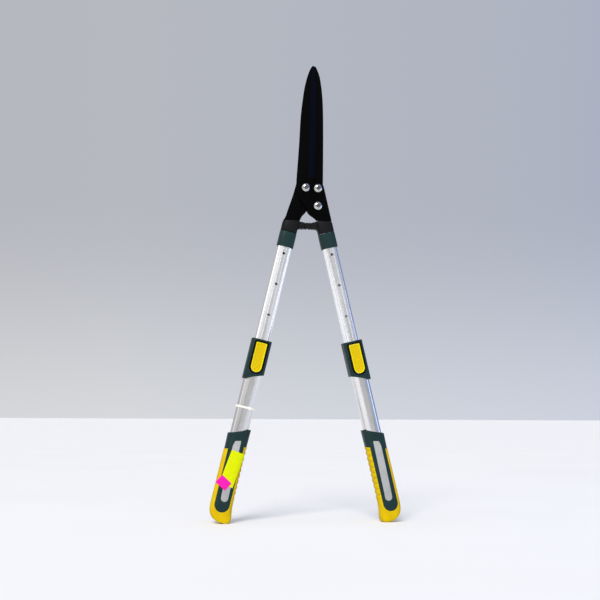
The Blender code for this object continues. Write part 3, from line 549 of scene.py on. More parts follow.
def floor_finish():
    """Plain pale floor, a little uneven in tone."""
    finish = Finish("floor", 0.6, 0.0)
    return finish.colour(
        finish.noise(2.0, detail=2.0), (0.925, 0.925, 0.915), (0.945, 0.945, 0.935)
    )


FINISHES = [
    coated_steel("blade_black", (0.0004, 0.0004, 0.0006), (0.0010, 0.0010, 0.0014), 0.4),
    # Bluish copy of the coating for the ground bevels: a painted reflection.
    ground_steel(),
    zinc_steel(),
    # A darker copy of the zinc: painted shade for the insides of the hex sockets.
    zinc_steel("socket_shaded_zinc", 0.3),
    aluminium("aluminium", (0.88, 0.885, 0.90), (0.95, 0.95, 0.96)),
    # A darker copy of the same aluminium: painted shade for the lower tubes.
    aluminium("aluminium_shaded", (0.67, 0.67, 0.68), (0.77, 0.77, 0.77)),
    moulded("charcoal_plastic", (0.004, 0.004, 0.0052), (0.0068, 0.0068, 0.0084), 0.5,
            Specular_IOR_Level=0.12),
    moulded("rubber_black", (0.005, 0.005, 0.006), (0.009, 0.009, 0.010), 0.68, 0.05 * MM,
            Specular_IOR_Level=0.1),
    moulded("green_plastic", (0.0065, 0.0225, 0.0235), (0.0095, 0.0295, 0.031), 0.42,
            Specular_IOR_Level=0.15),
    # Darkest black: a real frame that also paints the shade in the gap round the button.
    moulded("bezel_shade_black", (0.0015, 0.0015, 0.0015), (0.003, 0.003, 0.003), 0.35, 0.015 * MM,
            Specular_IOR_Level=0.06),
    button_yellow(),
    grip_yellow(),
    inset_grey(),
    nylon(),
    paper("label_yellow", (0.50, 0.56, 0.0), (0.58, 0.65, 0.0)),
    paper("label_pink", (0.62, 0.008, 0.28), (0.70, 0.013, 0.35)),
    floor_finish(),
]
MATERIALS = {finish.name: finish.material for finish in FINISHES}


# ---------------------------------------------------------------- head

PLATE_EDGE = 0.3 * MM
SIGHT_CORNER = Vector((8.6 * MM, 630.5 * MM))  # hides daylight beside the lever's drive pin
BOLT_HEAD_HEIGHT = 3.4 * MM
SOCKET_RADIUS = 4.0 * MM
SOCKET_DEPTH = 2.2 * MM
SHANK_RADIUS = 4.0 * MM
BEVEL_FACES = (0.95, 0.9995)  # share of a blade's ground faces' normal that lies along Y


def plate_outlines(node, level):
    """Smooth outlines of a steel plate and its holes."""
    loops = face_loops(node, level)
    if node == "rear_blade":
        loops = [with_corner(loops[0], SIGHT_CORNER)] + loops[1:]
    return [refined(loop) for loop in loops]


def with_corner(loop, corner):
    """Outline with one more corner, put in where it lengthens the outline least."""
    def detour(i):
        last, following = loop[i - 1], loop[i]
        return (last - corner).length + (following - corner).length - (following - last).length

    place = min(range(len(loop)), key=detour)
    return loop[:place] + [corner] + loop[place:]


def build_blade(node, face):
    """Blade with its ground bevel; face is -1 where the bevel is in front, 1 where it is behind."""
    low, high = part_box(node)
    whole_face, ground_face = (high.y, low.y) if face < 0 else (low.y, high.y)
    plate = extruded(plate_outlines(node, whole_face), low.y, high.y, "Y")
    plate = with_bevel(plate, PLATE_EDGE, 2, 60)
    plate = combined(plate, [grinding_wedge(node, face, ground_face)])
    plate.normal_update()
    # The ground faces take the bluish material, a painted reflection on the bevel.
    for side in plate.faces:
        if BEVEL_FACES[0] < side.normal.y * face < BEVEL_FACES[1]:
            side.material_index = 1
    add_piece(node, plate, materials=["blade_black", "blade_ground_painted_sheen"], sharp=5)


def grinding_wedge(node, face, ground_face):
    """What the grindstone takes off, in the plane of the CAD's bevel, run out at its foot."""
    mesh = frame["nodes"][node].data
    bevels = [p for p in mesh.polygons if BEVEL_FACES[0] < p.normal.y * face < BEVEL_FACES[1]]
    normal = max(bevels, key=lambda p: p.area).normal.copy()
    points = [mesh.vertices[i].co for p in bevels for i in p.vertices]
    foot = min(points, key=lambda p: p.z).z
    on_plane = points[0]

    def edge_x(z):
        """Where the bevel's plane meets the blade's flat."""
        return on_plane.x - (
            normal.y * (ground_face - on_plane.y) + normal.z * (z - on_plane.z)
        ) / normal.x

    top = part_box(node)[1].z + 5 * MM
    run_out = 14 * MM
    clear = 6 * MM
    across = math.copysign(40 * MM, normal.x)
    rings = []
    for z, start in ((foot, foot - run_out), (top, top)):
        ring = []
        for x_shift, lift in ((0, 0), (across, 0), (across, clear), (0, clear)):
            x = edge_x(z) + x_shift
            y = on_plane.y - (normal.x * (x - on_plane.x) + normal.z * (z - on_plane.z)) / normal.y
            height = start if lift else z
            ring.append(Vector((x, y + face * lift, height)))
        rings.append(ring)
    return skin(rings)


def build_lever_plate():
    """Right tang, which turns on the lever pivot."""
    low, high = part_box("lever_plate")
    plate = extruded(plate_outlines("lever_plate", low.y), low.y, high.y, "Y")
    add_piece("lever_plate", with_bevel(plate, PLATE_EDGE, 2, 60), sharp=20)


def build_bolt(node, turn):
    """Domed cap screw with a hexagonal socket and a chamfered end."""
    low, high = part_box(node)
    centre, radius = (low + high) / 2, (high.x - low.x) / 2
    seat = low.y + BOLT_HEAD_HEIGHT
    end = seat - high.y
    rim = 0.5 * MM
    dome = BOLT_HEAD_HEIGHT - rim
    ball = (radius**2 + dome**2) / (2 * dome)
    widest = math.asin(radius / ball)
    profile = [(0, BOLT_HEAD_HEIGHT)]
    for i in range(1, 17):
        angle = widest * i / 16
        profile.append((ball * math.sin(angle), rim + dome - ball * (1 - math.cos(angle))))
    chamfer = 0.6 * MM
    profile += [(radius, 0.15 * MM), (radius - 0.15 * MM, 0), (SHANK_RADIUS, 0)]
    profile += [(SHANK_RADIUS, end + chamfer), (SHANK_RADIUS - chamfer, end), (0, end)]
    place = facing_front(centre.x, seat, centre.z) @ Matrix.Rotation(math.radians(turn), 4, "Z")
    floor, brim = BOLT_HEAD_HEIGHT - SOCKET_DEPTH, BOLT_HEAD_HEIGHT - 0.5 * MM
    above = BOLT_HEAD_HEIGHT + 2 * MM
    hexagon = turned(
        [(0, floor - 0.8 * MM), (SOCKET_RADIUS, floor), (SOCKET_RADIUS, above), (0, above)],
        place, 6,
    )
    lead_in = turned(
        [(0, brim), (SOCKET_RADIUS - 0.1 * MM, brim),
         (SOCKET_RADIUS + 0.6 * MM, BOLT_HEAD_HEIGHT + 0.2 * MM), (0, above)],
        place, 48,
    )
    bolt = combined(combined(turned(profile, place), [hexagon]), [lead_in])
    to_bolt = place.inverted()
    # Faces deep in the socket take the darker zinc as painted shade; the lead-in chamfer stays bright.
    for face in bolt.faces:
        spot = to_bolt @ face.calc_center_median()
        inside = math.hypot(spot.x, spot.y) < SOCKET_RADIUS
        if inside and 0 < spot.z < BOLT_HEAD_HEIGHT - 0.55 * MM:
            face.material_index = 1
    add_piece(node, bolt, materials=["zinc_steel", "socket_shaded_zinc"])


def build_nut(node):
    """Hexagon nut, chamfered front and back."""
    low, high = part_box(node)
    centre = (low + high) / 2
    radius = max(high.x - low.x, high.z - low.z) / 2
    place = facing_front(centre.x, centre.y, centre.z)
    half = (high.y - low.y) / 2
    hexagon = rod(radius, -half, half, place, 6)
    flat, wide = radius * 0.9, radius * 1.02
    drop = (wide - flat) * math.tan(math.radians(30))
    cone = turned([
        (0, -half), (flat, -half), (wide, drop - half),
        (wide, half - drop), (flat, half), (0, half),
    ], place)
    hole, chamfer, outside = SHANK_RADIUS + GAP, 0.6 * MM, half + 1 * MM
    bore = turned([
        (0, -outside), (hole + 0.8 * MM, -outside), (hole + chamfer, -half),
        (hole, chamfer - half), (hole, outside), (0, outside),
    ], place)
    add_piece(node, combined(combined(hexagon, [cone], "INTERSECT"), [bore]))


def build_head():
    build_blade("rear_blade", 1)
    build_blade("front_blade", -1)
    build_lever_plate()
    for node, turn in (("blade_pivot_bolt", 8), ("lever_pivot_bolt", 24), ("drive_pin", -13)):
        build_bolt(node, turn)
    for node in ("blade_pivot_nut", "lever_pivot_nut", "drive_pin_nut"):
        build_nut(node)


# ---------------------------------------------------------------- arms

TUBE_POWER = 2.5
TUBE_WALL = 1.2 * MM
TUBE_CHANNEL = 1.3 * MM
LOCK_Z = 342.3 * MM
LOCK_PITCH = 61.6 * MM
LOCK_HOLE_RADIUS = 2.6 * MM
LOCK_WINDOW_RADIUS = 3.2 * MM


def edge_round(radius, steps=4):
    """(inset, distance from the end) along a quarter-round edge, from the end face outwards."""
    turns = [math.pi / 2 * i / steps for i in range(steps + 1)]
    return [(radius * (1 - math.sin(a)), radius * (1 - math.cos(a))) for a in turns]


def post(half_x, half_y, power, low, high, edge, low_slope=0.0, high_slope=0.0):
    """Upright superellipse solid with rounded edges; its end planes may slant along X."""
    levels = [(inset, low + rise, low_slope) for inset, rise in edge_round(edge)]
    levels += [(inset, high - rise, high_slope) for inset, rise in edge_round(edge)[::-1]]
    rings = []
    for inset, height, slope in levels:
        rings.append(at_height(oval(half_x - inset, half_y - inset, power), height, slope))
    return skin(rings)


def tube_bore(tube, low, high, matrix):
    """What a tube with a gap round it fills between two heights."""
    half = local_box(tube, matrix)[1]
    return extruded([oval(half.x + GAP, half.y + GAP, TUBE_POWER)], low, high)


def build_ferrule(name, side, matrix):
    """Socket for the tang, with the arched arm that carries the bumper."""
    node = f"{name}_ferrule"
    foot = local_box(f"{name}_collar", matrix)[1].z + 0.7 * MM
    low, high = local_box(node, matrix)
    half_x, half_y = (high.x if side > 0 else -low.x), max(-low.y, high.y)
    slant = math.tan(TILT)
    top = high.z - slant * half_x + 0.1 * MM
    shoulder = post(half_x, half_y, 3.2, foot, top, 1.0 * MM, high_slope=-side * slant)
    plug_top = foot + 4 * MM
    plug = post(half_x - 3 * MM, half_y - 3.6 * MM, TUBE_POWER, low.z, plug_top, 0.6 * MM)
    arm = bumper_arm(name, side)
    arm.transform(matrix.inverted())
    ferrule = combined(shoulder, [plug, arm], "UNION")
    plate = "rear_blade" if side < 0 else "lever_plate"
    plate_low, plate_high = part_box(plate)
    half_slot = 10.3 * MM
    slot = box_mesh(
        (-half_slot, plate_low.y - GAP, low.z + 7 * MM),
        (half_slot, plate_high.y + GAP, top + 30 * MM),
    )
    add_piece(node, combined(ferrule, [slot]), matrix)


def bumper_arm(name, side):
    """Arm in world coordinates, from inside the ferrule to its bumper, arched underneath."""
    low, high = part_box(f"{name}_bumper")
    tip = high.x if side > 0 else -low.x
    middle = (low.z + high.z) / 2
    near = (tip + GAP) / MM
    outline = [
        (31, 8.5), (20, 8.3), (14.5, 7.7), (near, 6.1), (near, -5.7), (12, -5.9), (17, -6.3),
        (20.4, -8.9), (22.6, -13.9), (31, -12.3),
    ]
    loop = refined([Vector((side * x * MM, middle + z * MM)) for x, z in outline])
    return with_bevel(extruded([loop], low.y, high.y, "Y"), 1.8 * MM, 4, 60)


def build_bumper(name, side):
    """Rubber stop: a rounded pad with a groove before its bulbous end."""
    node = f"{name}_bumper"
    low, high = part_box(node)
    length = high.x - low.x
    middle, half = (low.z + high.z) / 2, (high.z - low.z) / 2
    face = low.x if side > 0 else high.x
    outline = [(1.0, 0.92), (0.9, 0.92), (0.78, 0.84), (0.66, 0.93), (0.40, 1.0), (0.14, 0.95)]
    outline += [(0.0, 0.82), (0.0, -0.5), (0.12, -0.78), (0.36, -1.0), (0.66, -0.93)]
    outline += [(0.78, -0.82), (0.9, -0.9), (1.0, -0.9)]
    loop = [Vector((face + side * x * length, middle + z * half)) for x, z in outline]
    pad = extruded([refined(loop, corner=60)], low.y, high.y, "Y")
    add_piece(node, with_bevel(pad, 1.2 * MM, 4, 60), sharp=40)


def tube_outline(half_x, half_y):
    """Drawn section: a lock channel down the front and back, a fine line beside it, round sides."""
    groove_half, line = 0.245 * half_x, 0.63 * half_x
    floor = half_y - TUBE_CHANNEL

    def at(x, sunk=0.0):
        return Vector((x, -oval_height(x, half_x, half_y, TUBE_POWER) + sunk))

    front = [Vector((groove_half - 0.5 * MM, -floor)), at(groove_half), at(line - 0.6 * MM)]
    front += [at(line - 0.15 * MM, 0.55 * MM), at(line + 0.35 * MM, 0.55 * MM), at(line + 0.8 * MM)]
    front += [at(0.9 * half_x), at(0.985 * half_x)]
    return rounded(quartered(front), 0.45 * MM, 3)


def build_upper_tube(name, matrix):
    """Grooved tube with its row of lock holes."""
    node = f"{name}_upper_tube"
    low, high = local_box(node, matrix)
    inner = oval(high.x - TUBE_WALL - 0.7 * MM, high.y - TUBE_WALL - TUBE_CHANNEL, 2.4)
    tube = extruded([tube_outline(high.x, high.y), inner], low.z, high.z)
    holes = []
    for i in range(4):
        place = facing_front(0, low.y, LOCK_Z + i * LOCK_PITCH)
        holes.append(rod(LOCK_HOLE_RADIUS, -4 * MM, 4 * MM, place, 40))
    add_piece(node, combined(tube, holes), matrix, sharp=22)


def build_lower_tube(name, matrix):
    """Wider section with broad flats between rounded corners."""
    node = f"{name}_lower_tube"
    low, high = local_box(node, matrix)
    front = [
        Vector((x * high.x, -oval_height(x * high.x, high.x, high.y, TUBE_POWER)))
        for x in (0.34, 0.74, 0.97)
    ]
    outer = rounded(quartered(front), 2.4 * MM, 6)
    inner = oval(high.x - TUBE_WALL, high.y - TUBE_WALL, TUBE_POWER)
    tube = extruded([outer, inner], low.z, high.z)
    place = facing_front(0, low.y, LOCK_Z)
    window = rod(LOCK_WINDOW_RADIUS, -6 * MM, 6 * MM, place, 40)
    # The lower tube takes the darker aluminium copy, which is painted shade.
    add_piece(node, combined(tube, [window]), matrix, ["aluminium_shaded"], sharp=22)


def build_collar(name, matrix):
    """Ring round the tube's top, with a keyed bore."""
    node = f"{name}_collar"
    low, high = local_box(node, matrix)
    body = post(high.x, high.y, 2.8, low.z, high.z, 1.0 * MM)
    clear = 5 * MM
    bore = tube_bore(f"{name}_upper_tube", low.z - clear, high.z + clear, matrix)
    add_piece(node, combined(body, [bore]), matrix)


def build_rivet(name, matrix):
    """Domed rivet in the back of the collar."""
    node = f"{name}_collar_rivet"
    low, high = local_box(node, matrix)
    radius, middle = (high.x - low.x) / 2, (low + high) / 2
    dome, shank, sunk = 1.3 * MM, 1.7 * MM, 1 * MM
    turns = [math.pi / 2 * i / 8 for i in range(1, 9)]
    end = low.y - high.y + sunk
    profile = [(0, dome)] + [(radius * math.sin(a), dome * math.cos(a)) for a in turns]
    profile += [(shank, -0.2 * MM), (shank, end), (0, end)]
    facing_back = Matrix.Rotation(-math.pi / 2, 4, "X")
    place = Matrix.Translation((middle.x, high.y - sunk, middle.z)) @ facing_back
    add_piece(node, turned(profile, place, 32), matrix)


# ---------------------------------------------------------------- locks

SLEEVE_SLANT = 0.36
ROCKER_RELIEF = math.tan(math.radians(4.6))
DOT_PITCH = 3.6 * MM
DOT_MARGIN = 4.2 * MM


def build_sleeve(name, side, matrix):
    """Moulding over the lower tube's top end, its foot slanted and its front cut for the bezel."""
    node = f"{name}_lock_sleeve"
    low, high = local_box(node, matrix)
    foot = low.z + SLEEVE_SLANT * high.x
    body = post(high.x, high.y, 5.0, foot, high.z, 0.7 * MM, low_slope=-SLEEVE_SLANT * side)
    lower, upper = f"{name}_lower_tube", f"{name}_upper_tube"
    shoulder = local_box(lower, matrix)[1].z
    clear = 20 * MM
    channel = tube_bore(lower, foot - clear, shoulder + GAP, matrix)
    mouth = tube_bore(upper, shoulder - 5 * MM, high.z + clear, matrix)
    bezel_low, bezel_high = local_box(f"{name}_lock_bezel", matrix)
    window = slot_outline(bezel_high.x + GAP, bezel_low.z - GAP, bezel_high.z + GAP, 3 * MM)
    window = extruded([window], -30 * MM, -8 * MM, "Y")
    add_piece(node, combined(body, [channel, mouth, window]), matrix)


def build_bezel(name, matrix):
    """Black frame round the button, with a rounded front; its near-black colour, darker than the other black
    mouldings, is also painted shade for the gap round the button.
    """
    node = f"{name}_lock_bezel"
    low, high = local_box(node, matrix)
    button = local_box(f"{name}_lock_button", matrix)[1]
    wall = high.x - button.x - 0.6 * MM
    rings = []
    for share, depth in (
        (0.0, high.y), (0.0, low.y + 0.8 * MM), (0.1, low.y + 0.3 * MM), (0.3, low.y),
        (0.62, low.y), (0.88, low.y + 0.3 * MM), (1.0, low.y + 1.0 * MM), (1.0, high.y),
    ):
        inset = share * wall
        outline = slot_outline(
            high.x - inset, low.z + inset, high.z - inset, (2.8 - 1.2 * share) * MM, 32
        )
        rings.append([Vector((p.x, depth, p.y)) for p in outline])
    add_piece(node, skin(rings, wrap=True), matrix, materials=["bezel_shade_black"], sharp=40)


def build_button(name, matrix):
    """Rocker button: raised rim, sunk field, rows of dots on the half that a thumb presses."""
    node = f"{name}_lock_button"
    low, high = local_box(node, matrix)
    pivot_z = local_middle(f"{name}_lock_pivot", matrix).z
    field = low.y + 0.9 * MM

    def back_at(z):
        """The lower half is relieved behind, so that it can be pressed in."""
        return high.y - max(0.0, pivot_z - z) * ROCKER_RELIEF

    def ring(inset, depth=None):
        """Outline drawn in by inset, at a depth behind the rim; without one, on the back."""
        inset *= MM
        outline = slot_outline(
            high.x - inset, low.z + inset, high.z - inset, max(1.6 * MM - 0.5 * inset, 0.6 * MM), 32
        )
        return [
            Vector((p.x, back_at(p.y) if depth is None else low.y + depth * MM, p.y))
            for p in outline
        ]

    button = skin([ring(0.3)] + [ring(inset, depth) for inset, depth in (
        (0.0, 1.0), (0.12, 0.45), (0.4, 0.12), (0.8, 0.0), (1.5, 0.0), (1.9, 0.15), (2.3, 0.8),
        (2.7, 0.9),
    )])
    pin, spring = f"{name}_lock_pin", f"{name}_lock_spring"
    pin_end, spring_end = (local_box(part, matrix)[0].y for part in (pin, spring))
    deep = -15 * MM
    nose = facing_front(0, pin_end, local_middle(pin, matrix).z)
    pocket = facing_front(0, spring_end - 0.35 * MM, local_middle(spring, matrix).z)
    axle = Matrix.Translation((0, -17 * MM, pivot_z)) @ Matrix.Rotation(math.pi / 2, 4, "Y")
    button = combined(button, [
        rod(2.3 * MM, deep, GAP, nose, 32), rod(3.4 * MM, deep, 0, pocket, 32),
        rod(1.3 * MM, -20 * MM, 20 * MM, axle, 24),
    ])
    button = combined(button, button_dots(low, high, field), "UNION")
    add_piece(node, button, matrix, sharp=40)


def button_dots(low, high, field):
    """Staggered rows of low domes, from the middle of the button down into its round end."""
    base, rise = 1.15 * MM, 0.75 * MM
    profile = [(0, -0.4 * MM), (1.25 * MM, -0.4 * MM), (1.2 * MM, 0.0)]
    profile += [(base * math.cos(a), rise * math.sin(a)) for a in (0.5, 0.9, 1.25)] + [(0, rise)]
    dots = []
    for row in range(8):
        z = low.z + DOT_MARGIN + row * DOT_PITCH * 0.87
        drop = max(0.0, low.z + high.x - z)
        reach = math.sqrt(max(0.0, (high.x - DOT_MARGIN) ** 2 - drop**2))
        count = max(1, int(2 * reach / DOT_PITCH + 1))
        if (count + row) % 2:
            count = max(1, count - 1)
        for i in range(count):
            x = (i - (count - 1) / 2) * DOT_PITCH
            dots.append(turned(profile, facing_front(x, field, z), 16))
    return dots


# ---------------------------------------------------------------- grips

# Butt sections, in mm: height up the axis, inner edge, outer edge, half depth, squareness
BUTT = [
    (3.7, -15.5, -2.5, 14.2, 6.0),
    (4.1, -17.6, 0.6, 14.9, 5.4),
    (5.0, -19.6, 3.8, 15.5, 4.8),
    (7.4, -22.4, 8.8, 16.3, 4.1),
    (10.8, -23.8, 13.2, 16.9, 3.6),
    (15.8, -23.9, 16.9, 17.2, 3.2),
    (22.5, -22.9, 19.3, 17.4, 3.0),
    (31.0, -21.6, 20.4, 17.4, 3.0),
    (42.0, -20.8, 20.6, 17.4, 3.0),
]
GRIP_HALF = (20.7 * MM, 17.4 * MM, 3.0)  # half width, half depth, squareness above the butt
OVERMOULD_THICKNESS = 1.8 * MM
OVERMOULD_TOP = 144.4 * MM
OVERMOULD_SLOPE = -0.3
OVERMOULD_STEP = 0.6 * MM
GRIP_TOP = 176.3 * MM
GRIP_TOP_SLOPE = -0.364
PANEL_HALF_WIDTH = 14.7 * MM
PANEL_FOOT = 22.4 * MM
FINGER_RIDGES = (56 * MM, 137 * MM, 10.2 * MM)  # first, last and pitch
RIDGE_WIDTH, RIDGE_DEPTH = 1.7 * MM, 1.5 * MM
PALM_LINES = (math.radians(54), math.radians(126))
PALM_SPAN = (48 * MM, 138 * MM)
PALM_FADE, PALM_DEPTH = 6 * MM, 0.6 * MM
PANEL_STEPS, SIDE_STEPS = 16, 40


def blended_sections():
    """Butt sections with a smooth run between them."""
    sections = []
    for i in range(len(BUTT) - 1):
        near = [BUTT[max(0, min(len(BUTT) - 1, i + k))] for k in (-1, 0, 1, 2)]
        for step in range(6):
            t = step / 6
            weights = (
                (-t + 2 * t**2 - t**3) / 2, (2 - 5 * t**2 + 3 * t**3) / 2,
                (t + 4 * t**2 - 3 * t**3) / 2, (t**3 - t**2) / 2,
            )
            sections.append([sum(w * s[k] for w, s in zip(weights, near)) for k in range(5)])
    return sections + [list(BUTT[-1])]


SECTIONS = blended_sections()


def section_at(height):
    """(inner edge, outer edge, half depth, squareness) of the grip at a height, in metres."""
    z = height / MM
    if z >= SECTIONS[-1][0]:
        found = SECTIONS[-1][1:]
    elif z <= SECTIONS[0][0]:
        found = SECTIONS[0][1:]
    else:
        upper = next(i for i, section in enumerate(SECTIONS) if section[0] > z)
        a, b = SECTIONS[upper - 1], SECTIONS[upper]
        t = (z - a[0]) / (b[0] - a[0])
        found = [p + (q - p) * t for p, q in zip(a[1:], b[1:])]
    return found[0] * MM, found[1] * MM, found[2] * MM, found[3]


def on_grip(side, height, slope, turn, inset=0.0, section_height=None):
    """Point on the grip: turn is 0 at the front, a quarter turn at the outer side, half behind."""
    inner, outer, depth, power = section_at(section_height or height)
    half, middle = (outer - inner) / 2 - inset, (outer + inner) / 2
    s, c = math.sin(turn), math.cos(turn)
    outward = middle + math.copysign(abs(s) ** (2 / power), s) * half
    y = -math.copysign(abs(c) ** (2 / power), c) * (depth - inset)
    return Vector((side * outward, y, height + slope * outward))


def turn_at(outward, height):
    """Turn at which the grip's front is that far out."""
    inner, outer, _, power = section_at(height)
    share = (outward - (outer + inner) / 2) / ((outer - inner) / 2)
    return math.asin(math.copysign(min(abs(share), 1.0) ** (power / 2), share))


def panel_half_width(height):
    """Half width of the bare panel between the overmould's edges; its foot is round."""
    rise = min(max(height - PANEL_FOOT, 0.0), PANEL_HALF_WIDTH)
    return math.sqrt(PANEL_HALF_WIDTH**2 - (PANEL_HALF_WIDTH - rise) ** 2)


def grip_heights(top):
    """Ring heights: close together where the butt turns in and round the panel's foot."""
    heights = [section[0] * MM for section in SECTIONS if section[0] * MM < PANEL_FOOT - 0.4 * MM]
    heights += [
        PANEL_FOOT + PANEL_HALF_WIDTH * (1 - math.cos(math.radians(6 * i))) for i in range(16)
    ]
    count = round((top - heights[-1]) / (1.25 * MM))
    return heights + [heights[-1] + (top - heights[-1]) * i / count for i in range(1, count + 1)]


def slope_at(height, top, slope):
    """Rings lean gradually, so that the last one lies in the slanted top plane."""
    start = BUTT[-1][0] * MM
    return slope * max(0.0, (height - start) / (top - start))


def ridge_depth(height, turn):
    """Finger grooves across the inner side, and one long line down the palm side."""
    first, last, pitch = FINGER_RIDGES
    depth = 0.0
    if first - pitch / 2 < height < last + pitch / 2:
        phase = (height - first) / pitch
        away = (phase - round(phase)) * pitch / RIDGE_WIDTH
        reach = max(0.0, math.cos(turn + math.pi / 2)) ** 0.5
        depth = RIDGE_DEPTH * math.exp(-away**2) * reach
    foot, top = PALM_SPAN
    if foot < height < top:
        fade = min(1.0, (height - foot) / PALM_FADE, (top - height) / PALM_FADE)
        for line in PALM_LINES:
            depth += PALM_DEPTH * fade * math.exp(-((turn - line) / 0.045) ** 2)
    return depth


def build_overmould(name, side, matrix):
    """Soft skin round both sides and the butt, with rolled edges along the panel and the top."""
    node = f"{name}_grip_overmould"
    top = OVERMOULD_TOP
    columns = 56
    roll = (0.55 * MM, 0.3 * MM, 0.12 * MM, 0.03 * MM)
    spread = [0.0, 0.004, 0.010, 0.020]
    spread += [0.020 + 0.96 * i / columns for i in range(1, columns)] + [0.98, 0.990, 0.996, 1.0]
    heights = grip_heights(top)
    heights = heights[:-1] + [top - 0.9 * MM, top - 0.45 * MM, top - 0.15 * MM, top]
    bm = bmesh.new()
    for way in (1, -1):
        rows = [flat_bottom(side, way, spread)]
        for height in heights:
            half = panel_half_width(height)
            start = turn_at(way * half, height)
            end = way * math.pi - start
            from_top = len(heights) - 1 - heights.index(height)
            top_roll = roll[from_top] if from_top < len(roll) else 0.0
            row = []
            for k, share in enumerate(spread):
                edge = min(k, len(spread) - 1 - k)
                open_side = min(1.0, half / (4 * MM))
                inset = max(top_roll, roll[edge] * open_side if edge < len(roll) else 0.0)
                turn = start + (end - start) * share
                lean = slope_at(height, top, OVERMOULD_SLOPE)
                inset += ridge_depth(height, turn)
                row.append(on_grip(side, height, lean, turn, inset, height))
            rows.append(row)
        sheet(bm, rows)
    bmesh.ops.remove_doubles(bm, verts=bm.verts, dist=MERGE)
    bmesh.ops.recalc_face_normals(bm, faces=bm.faces)
    add_piece(node, thickened(bm, OVERMOULD_THICKNESS, -1), matrix, sharp=45)


def flat_bottom(side, way, spread):
    """The lowest ring pressed onto its middle line, which closes the butt."""
    height = SECTIONS[0][0] * MM
    row = []
    for share in spread:
        point = on_grip(side, height, 0.0, way * math.pi * share)
        row.append(Vector((point.x, 0.0, height - 0.02 * MM)))
    return row


def build_core(name, side, matrix):
    """Hard grip body: bare panels front and back, bare top, drawn in under the overmould."""
    node = f"{name}_grip_core"
    seam, top = OVERMOULD_TOP + GAP, GRIP_TOP
    sunk = OVERMOULD_THICKNESS + GAP
    tube = local_box(f"{name}_lower_tube", matrix)
    narrow = 0.4 * MM

    def ring(height, panel_inset, side_inset, slope, lift=0.0):
        half = max(panel_half_width(height) - GAP, narrow)
        points = []
        for way in (1, -1):
            edges = [turn_at(way * x, height) for x in (-half, half)]
            for i in range(PANEL_STEPS + 1):
                turn = edges[0] + (edges[1] - edges[0]) * i / PANEL_STEPS
                turn = turn if way > 0 else math.pi - turn
                soft = {0: 0.3 * MM, 1: 0.08 * MM}.get(min(i, PANEL_STEPS - i), 0.0)
                points.append(on_grip(side, height, slope, turn, panel_inset + soft, height))
            start = edges[1] if way > 0 else math.pi - edges[1]
            end = math.pi - edges[1] if way > 0 else 2 * math.pi + edges[1]
            for i in range(SIDE_STEPS + 1):
                turn = start + (end - start) * i / SIDE_STEPS
                points.append(on_grip(side, height, slope, turn, side_inset, height))
        for point in points:
            point.z += lift
        return points

    rings = []
    foot = BUTT[0][0] * MM
    for height in grip_heights(seam):
        low_end = max(0.0, 1 - (height - foot) / (12 * MM)) * sunk
        slope = slope_at(height, seam, OVERMOULD_SLOPE)
        if height < PANEL_FOOT - 0.01 * MM:
            rings.append(ring(height, sunk, sunk, slope, low_end))
        else:
            if abs(height - PANEL_FOOT) < 0.01 * MM:
                rings.append(ring(height, sunk, sunk, slope))
            rings.append(ring(height, 0.0, sunk, slope))
    last_slope = slope_at(seam, seam, OVERMOULD_SLOPE)
    for inset, rise in edge_round(0.6 * MM, 3):
        rings.append(ring(seam, 0.0, OVERMOULD_STEP + inset, last_slope, rise))
    count = 14
    for i in range(1, count + 1):
        share = i / count
        height = seam + (top - seam) * share
        step = OVERMOULD_STEP * (1 - share)
        rings.append(ring(height, 0.0, step, last_slope + (GRIP_TOP_SLOPE - last_slope) * share))
    outer_top = rings.pop()
    for inset, rise in edge_round(0.9 * MM, 4)[::-1]:
        rings.append(ring(top, inset, inset, GRIP_TOP_SLOPE, -rise))
    half_x, half_y = tube[1].x + GAP, tube[1].y + GAP
    bore = [scaled_to_oval(point, half_x, half_y) for point in outer_top]
    rings += [at_height(bore, top, side * GRIP_TOP_SLOPE), at_height(bore, tube[0].z - GAP)]
    core = skin(rings)
    bmesh.ops.remove_doubles(core, verts=core.verts, dist=MERGE)
    bmesh.ops.recalc_face_normals(core, faces=core.faces)
    pockets = []
    under, outside = 0.6 * MM, 20 * MM
    for place, sign in FACES.items():
        inset = f"{name}_grip_inset_{place}"
        low, high = local_box(inset, matrix)
        outline = inset_outline(inset, sign, matrix, 0.25 * MM)
        before, behind = (outside, under) if sign < 0 else (under, outside)
        pockets.append(extruded([outline], low.y - before, high.y + behind, "Y"))
    add_piece(node, combined(core, pockets), matrix, sharp=35)


def scaled_to_oval(point, half_x, half_y, power=TUBE_POWER):
    """The point of an oval that lies in the same direction from the axis."""
    reach = (abs(point.x / half_x) ** power + abs(point.y / half_y) ** power) ** (-1 / power)
    return Vector((point.x * reach, point.y * reach))


def inset_outline(node, sign, matrix, grow=0.0):
    """The CAD pad's outline with smooth corners, grown all round."""
    low, high = local_box(node, matrix)
    loop = face_loops(node, low.y if sign < 0 else high.y, matrix)[0]
    points = rounded(refined(loop, 3, 20), 1.0 * MM, 4)
    middle = sum(points, Vector((0, 0))) / len(points)
    half = Vector(((high.x - low.x) / 2, (high.z - low.z) / 2))
    return [
        Vector((middle.x + (p.x - middle.x) * (1 + grow / half.x),
                middle.y + (p.y - middle.y) * (1 + grow / half.y))) for p in points
    ]


